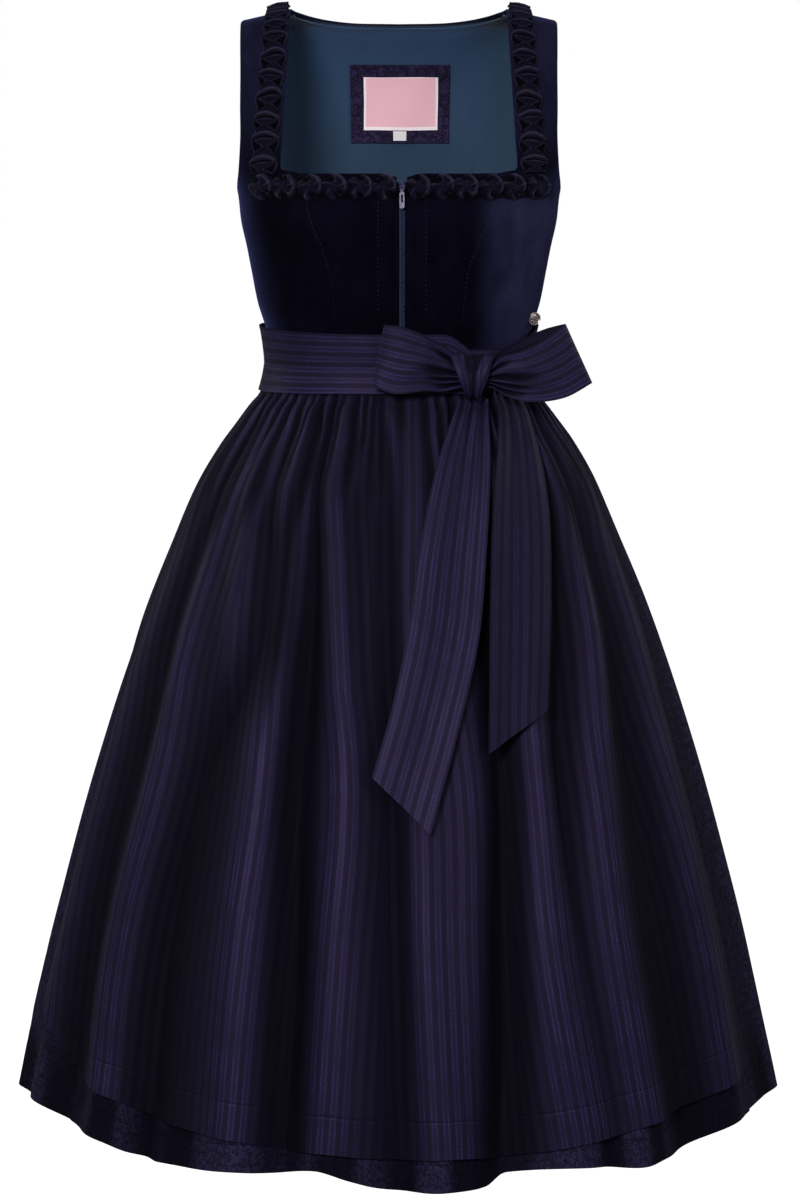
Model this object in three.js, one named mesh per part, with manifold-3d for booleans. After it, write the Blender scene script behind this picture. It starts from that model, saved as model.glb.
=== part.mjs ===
// A dirndl as it is worn: a velvet bodice with a front zip, a gathered skirt, and a striped
// apron whose ties go round the waist to a bow. Millimetres. The front faces -Y and up is +Z.
// The origin is on top of the shoulders, midway between them; "left" is the wearer's left, +X.
//
// Cloth is a closed wall. Each piece is a chart, a function of two numbers that gives a point,
// cut between its own edges. A piece that lies on another takes the same chart, moved out.
import * as THREE from "three";
import Module from "manifold-3d";

const manifold = await Module();
manifold.setup();
const { Manifold, Mesh: SolidMesh } = manifold;

// ---- driving sizes -------------------------------------------------------------------------
const CLOTH = 1.6; // velvet and jacquard wall
const LINING = 1.2; // lining wall
const SEAM = 0.2; // half the gap left at a seam
const LAYER_GAP = 0.6; // between two layers of cloth
const LINING_GAP = 4.1; // between the shell and its lining
const PATCH_GAP = 1.6; // between the lining and its patch
const SECTION_POWER = 2.5; // 2 is an ellipse, more is squarer
const SHOULDER_START = 95; // where the shoulder line starts to fall
const SHOULDER_FALL = 0.24; // its fall outwards, mm per mm
const NECK_V = 7; // bodice row of the front neckline
const WAIST_V = 14; // bodice row of the waist seam
const WAIST_SEAM = -322;
const TIE_TOP = -288.5;
const TIE_BOTTOM = -346;
const SKIRT_HEM = -1000;
const ZIP_X = 2.7; // the zip sits a little to the wearer's left
const ZIP_HALF = 2.5; // half the slot that shows the coil
const KNOT = new THREE.Vector3(64, -101.6, -327);

// Bodice rows from the shoulder seam (0) to the waist seam (14). The front and the back leave
// the shoulder seam in their own directions, so each has its own height and depth.
const BODICE = [
  { v: 0, half: 158, frontZ: -6, front: 1, backZ: -6, back: 0.6, bust: 0, armhole: 58.9 },
  { v: 1, half: 158, frontZ: -9, front: 12, backZ: -8, back: 16, bust: 0, armhole: 60.2 },
  { v: 2, half: 158, frontZ: -17, front: 26, backZ: -11, back: 34, bust: 0, armhole: 60.6 },
  { v: 3, half: 158, frontZ: -35, front: 41, backZ: -18, back: 53, bust: 0, armhole: 60.6 },
  { v: 4, half: 157, frontZ: -62, front: 56, backZ: -38, back: 70, bust: 0, armhole: 61.2 },
  { v: 5, half: 156, frontZ: -92, front: 70, backZ: -68, back: 83, bust: 0, armhole: 62.3 },
  { v: 6, half: 154, frontZ: -122, front: 83, backZ: -103, back: 91, bust: 2, armhole: 64.1 },
  { v: 7, half: 150, frontZ: -150, front: 93, backZ: -138, back: 95, bust: 5, armhole: 71 },
  { v: 7.5, half: 147, frontZ: -161, front: 96.5, backZ: -153, back: 96, bust: 6.5, armhole: 79 },
  { v: 8, half: 144.5, frontZ: -172, front: 99, backZ: -168, back: 96.5, bust: 8, armhole: 90 },
  { v: 9, half: 142, frontZ: -195, front: 102, backZ: -195, back: 95, bust: 10, armhole: 90 },
  { v: 10, half: 137, frontZ: -218, front: 101.5, backZ: -218, back: 92, bust: 9, armhole: 90 },
  { v: 11, half: 132.5, frontZ: -242, front: 99, backZ: -242, back: 87.5, bust: 6, armhole: 90 },
  { v: 12, half: 127.5, frontZ: -268, front: 94, backZ: -268, back: 82, bust: 3, armhole: 90 },
  { v: 13, half: 119.5, frontZ: -295, front: 89, backZ: -295, back: 78.5, bust: 0, armhole: 90 },
  { v: 14, half: 117, frontZ: -321.7, front: 87, backZ: -321.7, back: 78, bust: 0, armhole: 90 },
];
const BUST_APEX = 66;
const BUST_SPREAD = 34;

// Front princess seam and inner strap edge, as distances from the middle.
const FRONT_SEAM = [
  { v: 7, x: 86 },
  { v: 8, x: 82 },
  { v: 9, x: 76 },
  { v: 10, x: 66 },
  { v: 11, x: 59.5 },
  { v: 12, x: 57 },
  { v: 14, x: 57 },
];
const STRAP_EDGE = [
  { v: 0, x: 95.5 },
  { v: 3, x: 97.5 },
  { v: 6, x: 102.5 },
  { v: 6.7, x: 104 },
  { v: 6.93, x: 101 },
  { v: 7, x: 86 },
];
// Back princess seam, from the armhole to the waist.
const BACK_SEAM = [
  { v: 6, x: 137 },
  { v: 6.3, x: 110 },
  { v: 6.7, x: 88 },
  { v: 7.2, x: 74 },
  { v: 8, x: 68 },
  { v: 10, x: 60 },
  { v: 14, x: 48 },
];
// The back neck edge: how far down the back it lies, across the width.
const BACK_NECK = [
  { x: 0, v: 3.02 },
  { x: 30, v: 2.92 },
  { x: 62, v: 2.5 },
  { x: 80, v: 1.8 },
  { x: 90, v: 0.9 },
  { x: 95, v: 0 },
];

// Skirt sections from the waist seam to the hem, and their power, which falls to an ellipse.
const SKIRT = [
  { z: -322, half: 117, front: 87, back: 78, power: 2.5, fold: 0 },
  { z: -336, half: 119, front: 88.5, back: 80, power: 2.5, fold: 0 },
  { z: -350, half: 124, front: 92, back: 86, power: 2.4, fold: 0.15 },
  { z: -357, half: 130, front: 97, back: 92, power: 2.4, fold: 0.35 },
  { z: -375, half: 142, front: 107, back: 106, power: 2.3, fold: 0.8 },
  { z: -395, half: 156, front: 118, back: 121, power: 2.25, fold: 1 },
  { z: -430, half: 177, front: 136, back: 143, power: 2.2, fold: 1 },
  { z: -480, half: 199, front: 157, back: 170, power: 2.1, fold: 1 },
  { z: -545, half: 226, front: 183, back: 196, power: 2.05, fold: 1 },
  { z: -620, half: 252, front: 208, back: 223, power: 2, fold: 1 },
  { z: -700, half: 276.5, front: 232, back: 247, power: 2, fold: 1 },
  { z: -780, half: 298, front: 253, back: 267, power: 2, fold: 1 },
  { z: -860, half: 318, front: 272, back: 285, power: 2, fold: 1 },
  { z: -930, half: 333, front: 285.5, back: 297, power: 2, fold: 1 },
  { z: -1000, half: 348, front: 297, back: 306, power: 2, fold: 1 },
];
// The skirt's hem rises and falls as its folds take up cloth: its height at each angle.
const HEM_LINE = [
  { angle: -180, z: -996 },
  { angle: -120, z: -994 },
  { angle: -84, z: -991 },
  { angle: -73, z: -986 },
  { angle: -53, z: -986.5 },
  { angle: -38, z: -998 },
  { angle: -22, z: -995.5 },
  { angle: -12, z: -989.5 },
  { angle: -7, z: -997 },
  { angle: 0, z: -1004 },
  { angle: 7, z: -1006.5 },
  { angle: 12.5, z: -1003 },
  { angle: 16, z: -992 },
  { angle: 29, z: -996 },
  { angle: 37, z: -1000 },
  { angle: 44, z: -993 },
  { angle: 54, z: -985 },
  { angle: 68, z: -981.5 },
  { angle: 82, z: -990 },
  { angle: 120, z: -994 },
  { angle: 180, z: -996 },
];
// Folds of the skirt and apron front. The angle is from the front, positive to the wearer's
// left; ridges stand out and valleys go in. Each has its place and height at five levels.
const FOLD_LEVELS = [-420, -540, -660, -800, -960];
const FRONT_FOLDS = [
  { name: "ridge far right", width: 5, at: [-71, -70, -70, -70, -70], out: [4, 5, 6, 8, 9] },
  { name: "valley right side", width: 5.5, at: [-61, -61, -60, -61, -60], out: [-5, -6, -8, -9, -10] },
  { name: "ridge right side", width: 5, at: [-53, -52, -51, -52, -49], out: [5, 7, 9, 11, 12] },
  { name: "ridge short", width: 4, at: [-43, -38, -34, -34, -34], out: [6, 5, 0, 0, 0] },
  { name: "valley broad", width: 5, at: [-37, -31, -38, -41, -41], out: [-5, -6, -7, -10, -12] },
  { name: "ridge right", width: 4.4, at: [-30, -26.5, -26, -26, -25], out: [6, 9, 11, 13, 14] },
  { name: "valley deep", width: 3.2, at: [-23.5, -20, -19.4, -17.8, -17.4], out: [-9, -13, -15, -16, -15] },
  { name: "ridge mid right", width: 4, at: [-16, -12, -9.8, -10.2, -10.2], out: [5, 8, 9, 9, 9] },
  { name: "valley small", width: 2.6, at: [-11, -8.5, -5, -5, -5], out: [-4, -4, -2, 0, 0] },
  { name: "valley middle", width: 2.8, at: [-2.6, -2, -0.8, -0.5, 0.2], out: [-4, -6, -7, -7, -6] },
  { name: "ridge middle", width: 4.5, at: [3.2, 2.8, 4, 4.5, 6], out: [4, 6, 7, 9, 10] },
  { name: "ridge mid left", width: 4, at: [10, 11, 13.2, 12.3, 12], out: [2, 4, 6, 5, 3] },
  { name: "valley deep left", width: 3.4, at: [20, 20, 20.2, 17.9, 15.5], out: [-6, -9, -14, -16, -16] },
  { name: "ridge left", width: 4.6, at: [28, 27, 25.6, 24.8, 27], out: [5, 8, 11, 13, 14] },
  { name: "valley under bow", width: 4, at: [45, 38, 32, 31, 33], out: [-7, -9, -8, -4, -3] },
  { name: "ridge left side", width: 5, at: [51, 47, 40, 37, 38], out: [6, 8, 10, 11, 12] },
  { name: "valley left side", width: 5.5, at: [57, 54, 50, 48, 48], out: [-5, -7, -9, -10, -11] },
  { name: "ridge far left", width: 5, at: [64, 62, 59, 59, 58], out: [5, 6, 8, 9, 10] },
];
// The sides and back hang in even folds, which grow towards the hem.
const BACK_FOLDS = 10;
const BACK_FOLD_FROM = 74;
const BACK_FOLD_HEIGHT = [4, 6, 8, 10, 12];

// The apron's two side edges as angles from the front, and its hem's height across.
const APRON_EDGE = [
  { z: -322, right: 80, left: 75 },
  { z: -400, right: 80, left: 73.5 },
  { z: -545, right: 79, left: 69 },
  { z: -620, right: 77, left: 66.5 },
  { z: -780, right: 76, left: 66 },
  { z: -1000, right: 75, left: 66 },
];
// The wearer's right side edge curves in to the hem, by this many degrees more.
const APRON_CORNER = [
  { z: -322, turn: 0 },
  { z: -850, turn: 0 },
  { z: -900, turn: 4 },
  { z: -940, turn: 13 },
  { z: -1000, turn: 14 },
];
const APRON_HEM = [
  { u: -1, z: -938 },
  { u: -0.75, z: -950 },
  { u: -0.5, z: -962 },
  { u: -0.2, z: -972 },
  { u: 0.05, z: -977 },
  { u: 0.35, z: -975 },
  { u: 0.65, z: -964 },
  { u: 1, z: -950 },
];
const APRON_OUT = 4.8; // from the skirt's outer face to the apron's

// The bow. Each loop leaves the knot and folds back; its edges are heights at its reach.
const LOOP_RIGHT = {
  start: 58,
  foldTop: -16,
  foldBottom: -24,
  bulge: 9,
  rows: [
    { reach: 0, top: -318, bottom: -336, y: -101.8 },
    { reach: 0.13, top: -315.8, bottom: -338.2, y: -101.5 },
    { reach: 0.25, top: -305, bottom: -340, y: -102 },
    { reach: 0.45, top: -293, bottom: -339, y: -105 },
    { reach: 0.75, top: -284, bottom: -341, y: -108 },
    { reach: 1, top: -281, bottom: -334, y: -109 },
  ],
};
const LOOP_LEFT = {
  start: 70,
  foldTop: 147,
  foldBottom: 171,
  bulge: 10,
  rows: [
    { reach: 0, top: -318, bottom: -336, y: -101.8 },
    { reach: 0.12, top: -317, bottom: -337, y: -101.8 },
    { reach: 0.24, top: -306, bottom: -344, y: -100 },
    { reach: 0.45, top: -297, bottom: -349, y: -97 },
    { reach: 0.75, top: -287, bottom: -346, y: -91 },
    { reach: 1, top: -282, bottom: -334, y: -83 },
  ],
};
// Tails: both edges from the knot to the slanted end, as x and height.
const TAIL_RIGHT = [
  { t: 0, x0: 52, z0: -347.1, x1: 79, z1: -347.1 },
  { t: 0.2, x0: 32, z0: -405, x1: 80, z1: -405 },
  { t: 0.4, x0: 17, z0: -475, x1: 76, z1: -475 },
  { t: 0.6, x0: 8, z0: -535, x1: 69, z1: -545 },
  { t: 0.8, x0: -6, z0: -600, x1: 51, z1: -620 },
  { t: 1, x0: -23, z0: -657, x1: 27, z1: -704 },
];
const TAIL_LEFT = [
  { t: 0, x0: 83, z0: -338, x1: 96, z1: -332 },
  { t: 0.12, x0: 88, z0: -366, x1: 116, z1: -362 },
  { t: 0.35, x0: 82, z0: -440, x1: 131, z1: -432 },
  { t: 0.6, x0: 79, z0: -520, x1: 133, z1: -505 },
  { t: 1, x0: 77, z0: -640, x1: 129, z1: -607 },
];
// How far in front of the smooth skirt the tails hang, so that they clear its ridges.
const TAIL_CLEARANCE = [
  { z: -330, out: 10 },
  { z: -350, out: 16.5 },
  { z: -375, out: 17 },
  { z: -395, out: 17 },
  { z: -480, out: 17 },
  { z: -600, out: 20 },
  { z: -720, out: 22 },
];

// ---- curves and walls -----------------------------------------------------------------------
// A smooth value from a table: key names the column looked up, column the one wanted.
function along(table, key, column, at) {
  const falling = table[0][key] > table[table.length - 1][key];
  const sign = falling ? -1 : 1;
  let i = 0;
  while (i < table.length - 2 && sign * at > sign * table[i + 1][key]) i += 1;
  const here = table[i];
  const next = table[i + 1];
  const before = table[Math.max(0, i - 1)];
  const after = table[Math.min(table.length - 1, i + 2)];
  const span = next[key] - here[key];
  const k = THREE.MathUtils.clamp((at - here[key]) / span, 0, 1);
  const slope = (a, b) => (a === b ? 0 : (b[column] - a[column]) / (b[key] - a[key]));
  const m0 = i === 0 ? slope(here, next) : slope(before, next);
  const m1 = i === table.length - 2 ? slope(here, next) : slope(here, after);
  const k2 = k * k;
  const k3 = k2 * k;
  return (
    (2 * k3 - 3 * k2 + 1) * here[column] +
    (k3 - 2 * k2 + k) * span * m0 +
    (3 * k2 - 2 * k3) * next[column] +
    (k3 - k2) * span * m1
  );
}
const signedPower = (value, power) => Math.sign(value) * Math.abs(value) ** power;
const steps = (count) => Array.from({ length: count + 1 }, (_, i) => i / count);
const mix = THREE.MathUtils.lerp;
const rad = THREE.MathUtils.degToRad;

// The outward normal of chart(a, b), where a goes to the wearer's left seen from outside at
// the front, and b goes down.
function normalAt(chart, a, b) {
  const e = 1e-3;
  const across = chart(a + e, b).sub(chart(a - e, b));
  const down = chart(a, b + e).sub(chart(a, b - e));
  return down.cross(across).normalize();
}

// A closed wall through chart(a, b): its outer face is moved out by `out`, its inner face is
// `thick` inside that. With `ring` the columns close on themselves.
function wall(name, chart, columns, rows, { out = 0, thick = CLOTH, ring = false } = {}) {
  const wide = columns.length;
  const points = [];
  for (const depth of [out, out - thick])
    for (const b of rows)
      for (const a of columns) {
        const n = normalAt(chart, a, b);
        points.push(chart(a, b).addScaledVector(n, depth));
      }
  const layer = rows.length * wide;
  const faces = [];
  const quad = (p, q, r, s) => faces.push(p, q, r, p, r, s);
  const lastColumn = ring ? wide : wide - 1;
  for (let i = 0; i < rows.length - 1; i += 1)
    for (let j = 0; j < lastColumn; j += 1) {
      const k = (j + 1) % wide;
      const p = i * wide + j;
      const q = i * wide + k;
      const r = (i + 1) * wide + k;
      const s = (i + 1) * wide + j;
      quad(p, s, r, q);
      quad(p + layer, q + layer, r + layer, s + layer);
    }
  for (let j = 0; j < lastColumn; j += 1) {
    const k = (j + 1) % wide;
    const end = (rows.length - 1) * wide;
    quad(j, k, k + layer, j + layer);
    quad(end + j, end + j + layer, end + k + layer, end + k);
  }
  if (!ring)
    for (let i = 0; i < rows.length - 1; i += 1) {
      const first = i * wide;
      const last = first + wide - 1;
      quad(first, first + layer, first + wide + layer, first + wide);
      quad(last, last + wide, last + wide + layer, last + layer);
    }
  const geometry = new THREE.BufferGeometry().setFromPoints(points);
  geometry.setIndex(faces);
  return named(name, geometry);
}

function named(name, geometry) {
  const mesh = new THREE.Mesh(geometry, new THREE.MeshStandardMaterial());
  mesh.name = name;
  mesh.geometry.computeVertexNormals();
  return mesh;
}

// ---- charts ---------------------------------------------------------------------------------
// The bodice: face is -1 for the front and 1 for the back, angle is 0 in the middle of that
// face and 90 at the side seam, v goes from shoulder to waist.
function bodicePoint(face, angle, v) {
  const row = (column) => along(BODICE, "v", column, v);
  const power = 2 / SECTION_POWER;
  const x = row("half") * signedPower(Math.sin(rad(angle)), power);
  const depth = signedPower(Math.cos(rad(angle)), power);
  const side = Math.abs(x);
  const fade = THREE.MathUtils.clamp(1 - v / 5, 0, 1);
  const fall = SHOULDER_FALL * Math.max(0, side - SHOULDER_START) * fade;
  if (face > 0) return new THREE.Vector3(x, row("back") * depth + SEAM, row("backZ") - fall);
  const bust = row("bust") * Math.exp(-(((side - BUST_APEX) / BUST_SPREAD) ** 2));
  return new THREE.Vector3(x, -row("front") * depth - bust * depth - SEAM, row("frontZ") - fall);
}
// The angle at which the bodice has a given distance from the middle.
function angleAt(x, v) {
  const share = THREE.MathUtils.clamp(x / along(BODICE, "v", "half", v), -1, 1);
  return THREE.MathUtils.radToDeg(Math.asin(signedPower(share, SECTION_POWER / 2)));
}
const armhole = (v) => along(BODICE, "v", "armhole", v);

// A front or back chart between two edges, which are functions of v that give angles.
function panel(face, from, to) {
  return (a, v) => bodicePoint(face, mix(from(v), to(v), a), v);
}

// Round the waist and down the skirt: u runs -1 to 1 across the apron and 1 to 3 round the
// back, so the skirt and the apron share their columns.
function skirtAngle(u, z) {
  const right = along(APRON_EDGE, "z", "right", z);
  const left = along(APRON_EDGE, "z", "left", z);
  const corner = along(APRON_CORNER, "z", "turn", z);
  if (u < 0) return u * right + corner * THREE.MathUtils.clamp(-2 * u - 1, 0, 1);
  if (u <= 1) return u * left;
  const near = THREE.MathUtils.clamp((u - 2.4) / 0.6, 0, 1);
  return left + ((u - 1) / 2) * (360 - right - left) + corner * near;
}
function levelValue(values, z) {
  const table = FOLD_LEVELS.map((level, i) => ({ level, value: values[i] }));
  return along(table, "level", "value", THREE.MathUtils.clamp(z, -960, -420));
}
function foldOut(angle, z) {
  const turned = ((((angle + 180) % 360) + 360) % 360) - 180;
  let out = 0;
  for (const fold of FRONT_FOLDS) {
    const away = (turned - levelValue(fold.at, z)) / fold.width;
    if (Math.abs(away) < 4) out += levelValue(fold.out, z) * Math.exp(-away * away);
  }
  const side = Math.abs(turned);
  if (side > BACK_FOLD_FROM) {
    const span = 180 - BACK_FOLD_FROM;
    const into = (side - BACK_FOLD_FROM) / span;
    const rise = THREE.MathUtils.smoothstep(into, 0, 0.08);
    const wander = 0.5 * Math.sin(5 * into + (turned > 0 ? 1 : 0) + z / 900);
    const wave = Math.sin(BACK_FOLDS * into * Math.PI + wander);
    const meet = THREE.MathUtils.smoothstep(1 - into, 0, 0.05);
    out += rise * meet * levelValue(BACK_FOLD_HEIGHT, z) * wave;
  }
  return out * along(SKIRT, "z", "fold", z);
}
function sectionPoint(angle, z, out) {
  const row = (column) => along(SKIRT, "z", column, z);
  const power = 2 / row("power");
  const sine = Math.sin(rad(angle));
  const cosine = Math.cos(rad(angle));
  const deep = cosine > 0 ? row("front") : row("back");
  const x = (row("half") + out) * signedPower(sine, power);
  const y = -(deep + out) * signedPower(cosine, power) - SEAM * Math.sign(cosine);
  return new THREE.Vector3(x, y, z);
}
// The skirt's outer face, with an extra distance out for what lies on it.
function skirtChart(extra) {
  return (u, z) => {
    const angle = skirtAngle(u, z);
    return sectionPoint(angle, z, foldOut(angle, z) + extra);
  };
}
// The smooth waist over bodice and skirt, for bands: angle from the front, and height.
function waistPoint(angle, z, out) {
  if (z < WAIST_SEAM) return sectionPoint(angle, z, out);
  const rows = BODICE.slice(-4).map((r) => ({ ...r, z: r.frontZ }));
  const row = (column) => along(rows, "z", column, z);
  const power = 2 / SECTION_POWER;
  const cosine = Math.cos(rad(angle));
  const deep = cosine > 0 ? row("front") : row("back");
  const x = (row("half") + out) * signedPower(Math.sin(rad(angle)), power);
  return new THREE.Vector3(x, -(deep + out) * signedPower(cosine, power) - SEAM * Math.sign(cosine), z);
}

const dirndl = new THREE.Group();
dirndl.name = "dirndl";

// ---- bodice ---------------------------------------------------------------------------------
const frontRows = [7, 7.5, 8, 9, 10, 11, 12, 13, 14];
const sideRows = [0, 0.5, 1, 1.5, 2, 3, 4, 5, 6, 6.7, 6.93, 7, 7.5, 8, 9, 10, 11, 12, 13, 14];
const frontSeam = (v) => along(FRONT_SEAM, "v", "x", v);
const innerEdge = (v) => (v < NECK_V ? along(STRAP_EDGE, "v", "x", v) : frontSeam(v));
const backSeam = (v) => along(BACK_SEAM, "v", "x", v);
const backTimes = [0, 0.07, 0.14, 0.22, 0.3, 0.38, 0.43, 0.455, 0.48, 0.51, 0.57, 0.68, 0.8, 0.9, 1];

for (const [side, sign] of [
  ["right", -1],
  ["left", 1],
]) {
  // Centre front, from the zip to the princess seam. The columns near the zip carry the fold
  // of velvet that stands up beside it.
  const zipEdge = ZIP_X + sign * ZIP_HALF;
  const seamEdge = (v) => sign * (frontSeam(v) - SEAM);
  const centre = panel(
    -1,
    (v) => angleAt(sign < 0 ? seamEdge(v) : zipEdge, v),
    (v) => angleAt(sign < 0 ? zipEdge : seamEdge(v), v),
  );
  const raised = (a, v) => {
    const point = centre(a, v);
    const away = (Math.abs(point.x - ZIP_X) - 9.5) / 2.6;
    const belowTrim = THREE.MathUtils.smoothstep(v, 8.1, 8.7);
    const underTie = THREE.MathUtils.smoothstep(v, 12.3, 13);
    point.y -= 1.4 * Math.exp(-away * away) * belowTrim * (1 - underTie);
    return point;
  };
  const near = [0, 0.05, 0.09, 0.13, 0.2, 0.4, 0.6, 0.8, 1];
  const columns = sign > 0 ? near : near.map((a) => 1 - a).reverse();
  dirndl.add(wall("bodice_front_" + side, raised, columns, frontRows));

  // Side front with the front half of the strap, from the shoulder seam to the waist.
  const inner = (v) => sign * angleAt(innerEdge(v) + SEAM, v);
  const outer = (v) => sign * armhole(v);
  const sideFront = sign > 0 ? panel(-1, inner, outer) : panel(-1, outer, inner);
  dirndl.add(wall("bodice_side_front_" + side, sideFront, steps(6), sideRows));

  // Side back, from the back princess seam to the side seam. Seen from outside, the back
  // runs the other way round.
  const backInner = (v) => sign * angleAt(backSeam(v) + 2.8 * SEAM, v);
  const sideBack = sign > 0 ? panel(1, outer, backInner) : panel(1, backInner, outer);
  const sideBackRows = backTimes.filter((t) => t > 0.42).map((t) => t * WAIST_V);
  dirndl.add(wall("bodice_side_back_" + side, sideBack, steps(6), sideBackRows));
}

// Rows for the whole back start at its neck edge in the middle and at the shoulder seam at the
// sides: t goes from that top edge to the waist.
const backTop = (x) => (Math.abs(x) < SHOULDER_START ? along(BACK_NECK, "x", "v", Math.abs(x)) : 0);
function backChart(edgeAngle) {
  const shoulderHalf = 141.5;
  return (a, t) => {
    const top = backTop(a * shoulderHalf);
    const v = mix(top, WAIST_V, t);
    return bodicePoint(1, -a * edgeAngle(v), v);
  };
}
const backAcross = [-1, -0.87, -0.76, -0.67, -0.62, -0.55, -0.42, -0.21];
const mirrored = (half) => [...half, 0, ...half.map((a) => -a).reverse()];
const backColumns = mirrored(backAcross);
const liningColumns = mirrored([-1, -0.93, -0.87, -0.76, -0.67, -0.6, -0.42, -0.21]);
const centreBackEdge = (v) => (v < 6 ? armhole(v) : angleAt(backSeam(v) - SEAM, v));
dirndl.add(wall("bodice_back", backChart(centreBackEdge), backColumns, backTimes));

// The lining shows inside the back; it follows the armholes and stops short of the side seams.
const liningEdge = (v) => Math.min(armhole(v) - 0.5, 82);
const liningOut = -CLOTH - LINING_GAP;
const liningRows = [0, 0.07, 0.14, 0.22, 0.3, 0.4, 0.5, 0.6, 0.73, 0.86, 1];
dirndl.add(
  wall("lining_back", backChart(liningEdge), liningColumns, liningRows, {
    out: liningOut,
    thick: LINING,
  }),
);

// Patch, label and size tab lie on the lining, one over another. Their corners are in x and v.
function onLining(name, x0, x1, v0, v1, out, across) {
  const chart = (a, v) => bodicePoint(1, -angleAt(mix(x0, x1, a), v), v);
  const rows = steps(across).map((k) => mix(v0, v1, k));
  const solid = wall(name, chart, steps(across), rows, { out, thick: 1 });
  dirndl.add(solid);
}
const patchOut = liningOut - LINING - PATCH_GAP;
onLining("label_patch", -45, 47, 4.5, 6.64, patchOut, 5);
onLining("label", -31.5, 38.5, 4.86, 6.3, patchOut - 1 - LAYER_GAP, 5);
onLining("size_tab", -4.5, 8, 6.32, 6.57, patchOut - 1 - LAYER_GAP, 1);

// ---- zip ------------------------------------------------------------------------------------
const zipChart = (half) => (a, v) => bodicePoint(-1, angleAt(ZIP_X + a * half, v), v);
const zipRows = [7.3, 7.6, 8, 9, 10, 11, 12, 13, 13.9];
const tapeOut = -CLOTH - LAYER_GAP;
dirndl.add(wall("zip_tape", zipChart(13), [-1, 0, 1], zipRows, { out: tapeOut, thick: 1 }));
const coilRows = [7.35, ...zipRows.slice(1)];
dirndl.add(wall("zip_coil", zipChart(2), [-1, 0, 1], coilRows, { out: 0.5, thick: 2.2 }));

// Slider: a plate over the coil, with two lugs that hold the pin of the pull tab.
const SLIDER_V = 7.58;
const PLATE = { wide: 5.6, tall: 9.6, thick: 2.4 };
const PIN = { radius: 0.45, out: 2.1, up: -3.3 };
const LUG = { apart: 2.35, wide: 0.8, radius: 1.3 };
const TAB = { wide: 4.3, long: 16, thick: 1, barrel: 1.3, bore: 0.8, barrelWide: 3.1 };

function solidOf(geometry) {
  const plain = geometry.index ? geometry : geometry.clone();
  const mesh = new SolidMesh({
    numProp: 3,
    vertProperties: new Float32Array(plain.attributes.position.array),
    triVerts: plain.index
      ? new Uint32Array(plain.index.array)
      : Uint32Array.from({ length: plain.attributes.position.count }, (_, i) => i),
  });
  mesh.merge();
  return new Manifold(mesh);
}
function geometryOf(solid) {
  const mesh = solid.getMesh();
  const geometry = new THREE.BufferGeometry();
  geometry.setAttribute("position", new THREE.BufferAttribute(mesh.vertProperties.slice(), 3));
  geometry.setIndex(new THREE.BufferAttribute(mesh.triVerts.slice(), 1));
  return geometry;
}
// A rod along X.
function rodX(radius, length, x, y, z, sides = 12) {
  const rod = new THREE.CylinderGeometry(radius, radius, length, sides);
  rod.rotateZ(Math.PI / 2);
  rod.translate(x, y, z);
  return solidOf(rod);
}
// A rounded plate in the XZ plane, centred on x, between two depths.
function plateXZ(wide, top, bottom, radius, y0, y1, x) {
  const shape = new THREE.Shape();
  const half = wide / 2;
  shape.moveTo(-half + radius, bottom);
  shape.lineTo(half - radius, bottom);
  shape.quadraticCurveTo(half, bottom, half, bottom + radius);
  shape.lineTo(half, top - radius);
  shape.quadraticCurveTo(half, top, half - radius, top);
  shape.lineTo(-half + radius, top);
  shape.quadraticCurveTo(-half, top, -half, top - radius);
  shape.lineTo(-half, bottom + radius);
  shape.quadraticCurveTo(-half, bottom, -half + radius, bottom);
  const plate = new THREE.ExtrudeGeometry(shape, {
    depth: y1 - y0,
    bevelEnabled: false,
    curveSegments: 3,
  });
  plate.rotateX(Math.PI / 2);
  plate.translate(x, y1, 0);
  return solidOf(plate);
}

const sliderSeat = bodicePoint(-1, angleAt(ZIP_X, SLIDER_V), SLIDER_V);
const sliderNormal = normalAt(zipChart(2), 0, SLIDER_V);
const sliderTilt = Math.atan2(sliderNormal.z, -sliderNormal.y);
const faceY = -1 - PLATE.thick;
const pinLocal = new THREE.Vector3(0, faceY - PIN.out, PIN.up);
const lugs = [-1, 1].map((side) => {
  const x = side * LUG.apart;
  const round = rodX(LUG.radius, LUG.wide, x, pinLocal.y, pinLocal.z);
  const root = new THREE.BoxGeometry(LUG.wide, PIN.out + 0.4, LUG.radius * 2);
  root.translate(x, faceY - PIN.out / 2 + 0.2, pinLocal.z);
  return round.add(solidOf(root));
});
const plateTop = PLATE.tall / 2;
let slider = plateXZ(PLATE.wide, plateTop, -plateTop, 1.6, faceY, -1, 0);
slider = slider.add(lugs[0]).add(lugs[1]);
slider = slider.add(rodX(PIN.radius, LUG.apart * 2, 0, pinLocal.y, pinLocal.z));
const sliderPlace = new THREE.Matrix4().makeRotationX(-sliderTilt).setPosition(sliderSeat);
dirndl.add(named("zip_slider", geometryOf(slider).applyMatrix4(sliderPlace)));

// Pull tab: a barrel on the pin and a plate that lies down the front, clear of the slider.
const pin = pinLocal.clone().applyMatrix4(sliderPlace);
let tab = rodX(TAB.barrel, TAB.barrelWide, 0, 0, 0, 14);
tab = tab.add(plateXZ(TAB.wide, -1.7, -TAB.long, 1.6, -TAB.thick / 2, TAB.thick / 2, 0));
const neck = new THREE.BoxGeometry(2.4, TAB.thick, 2.4);
neck.translate(0, 0, -1.6);
tab = tab.add(solidOf(neck)).subtract(rodX(TAB.bore, 6, 0, 0, 0, 14));
tab = tab.subtract(plateXZ(1.8, -4, -11, 0.8, -2, 2, 0));
const tabPlace = new THREE.Matrix4().makeRotationX(-sliderTilt * 0.75).setPosition(pin);
dirndl.add(named("zip_pull_tab", geometryOf(tab).applyMatrix4(tabPlace)));

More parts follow.
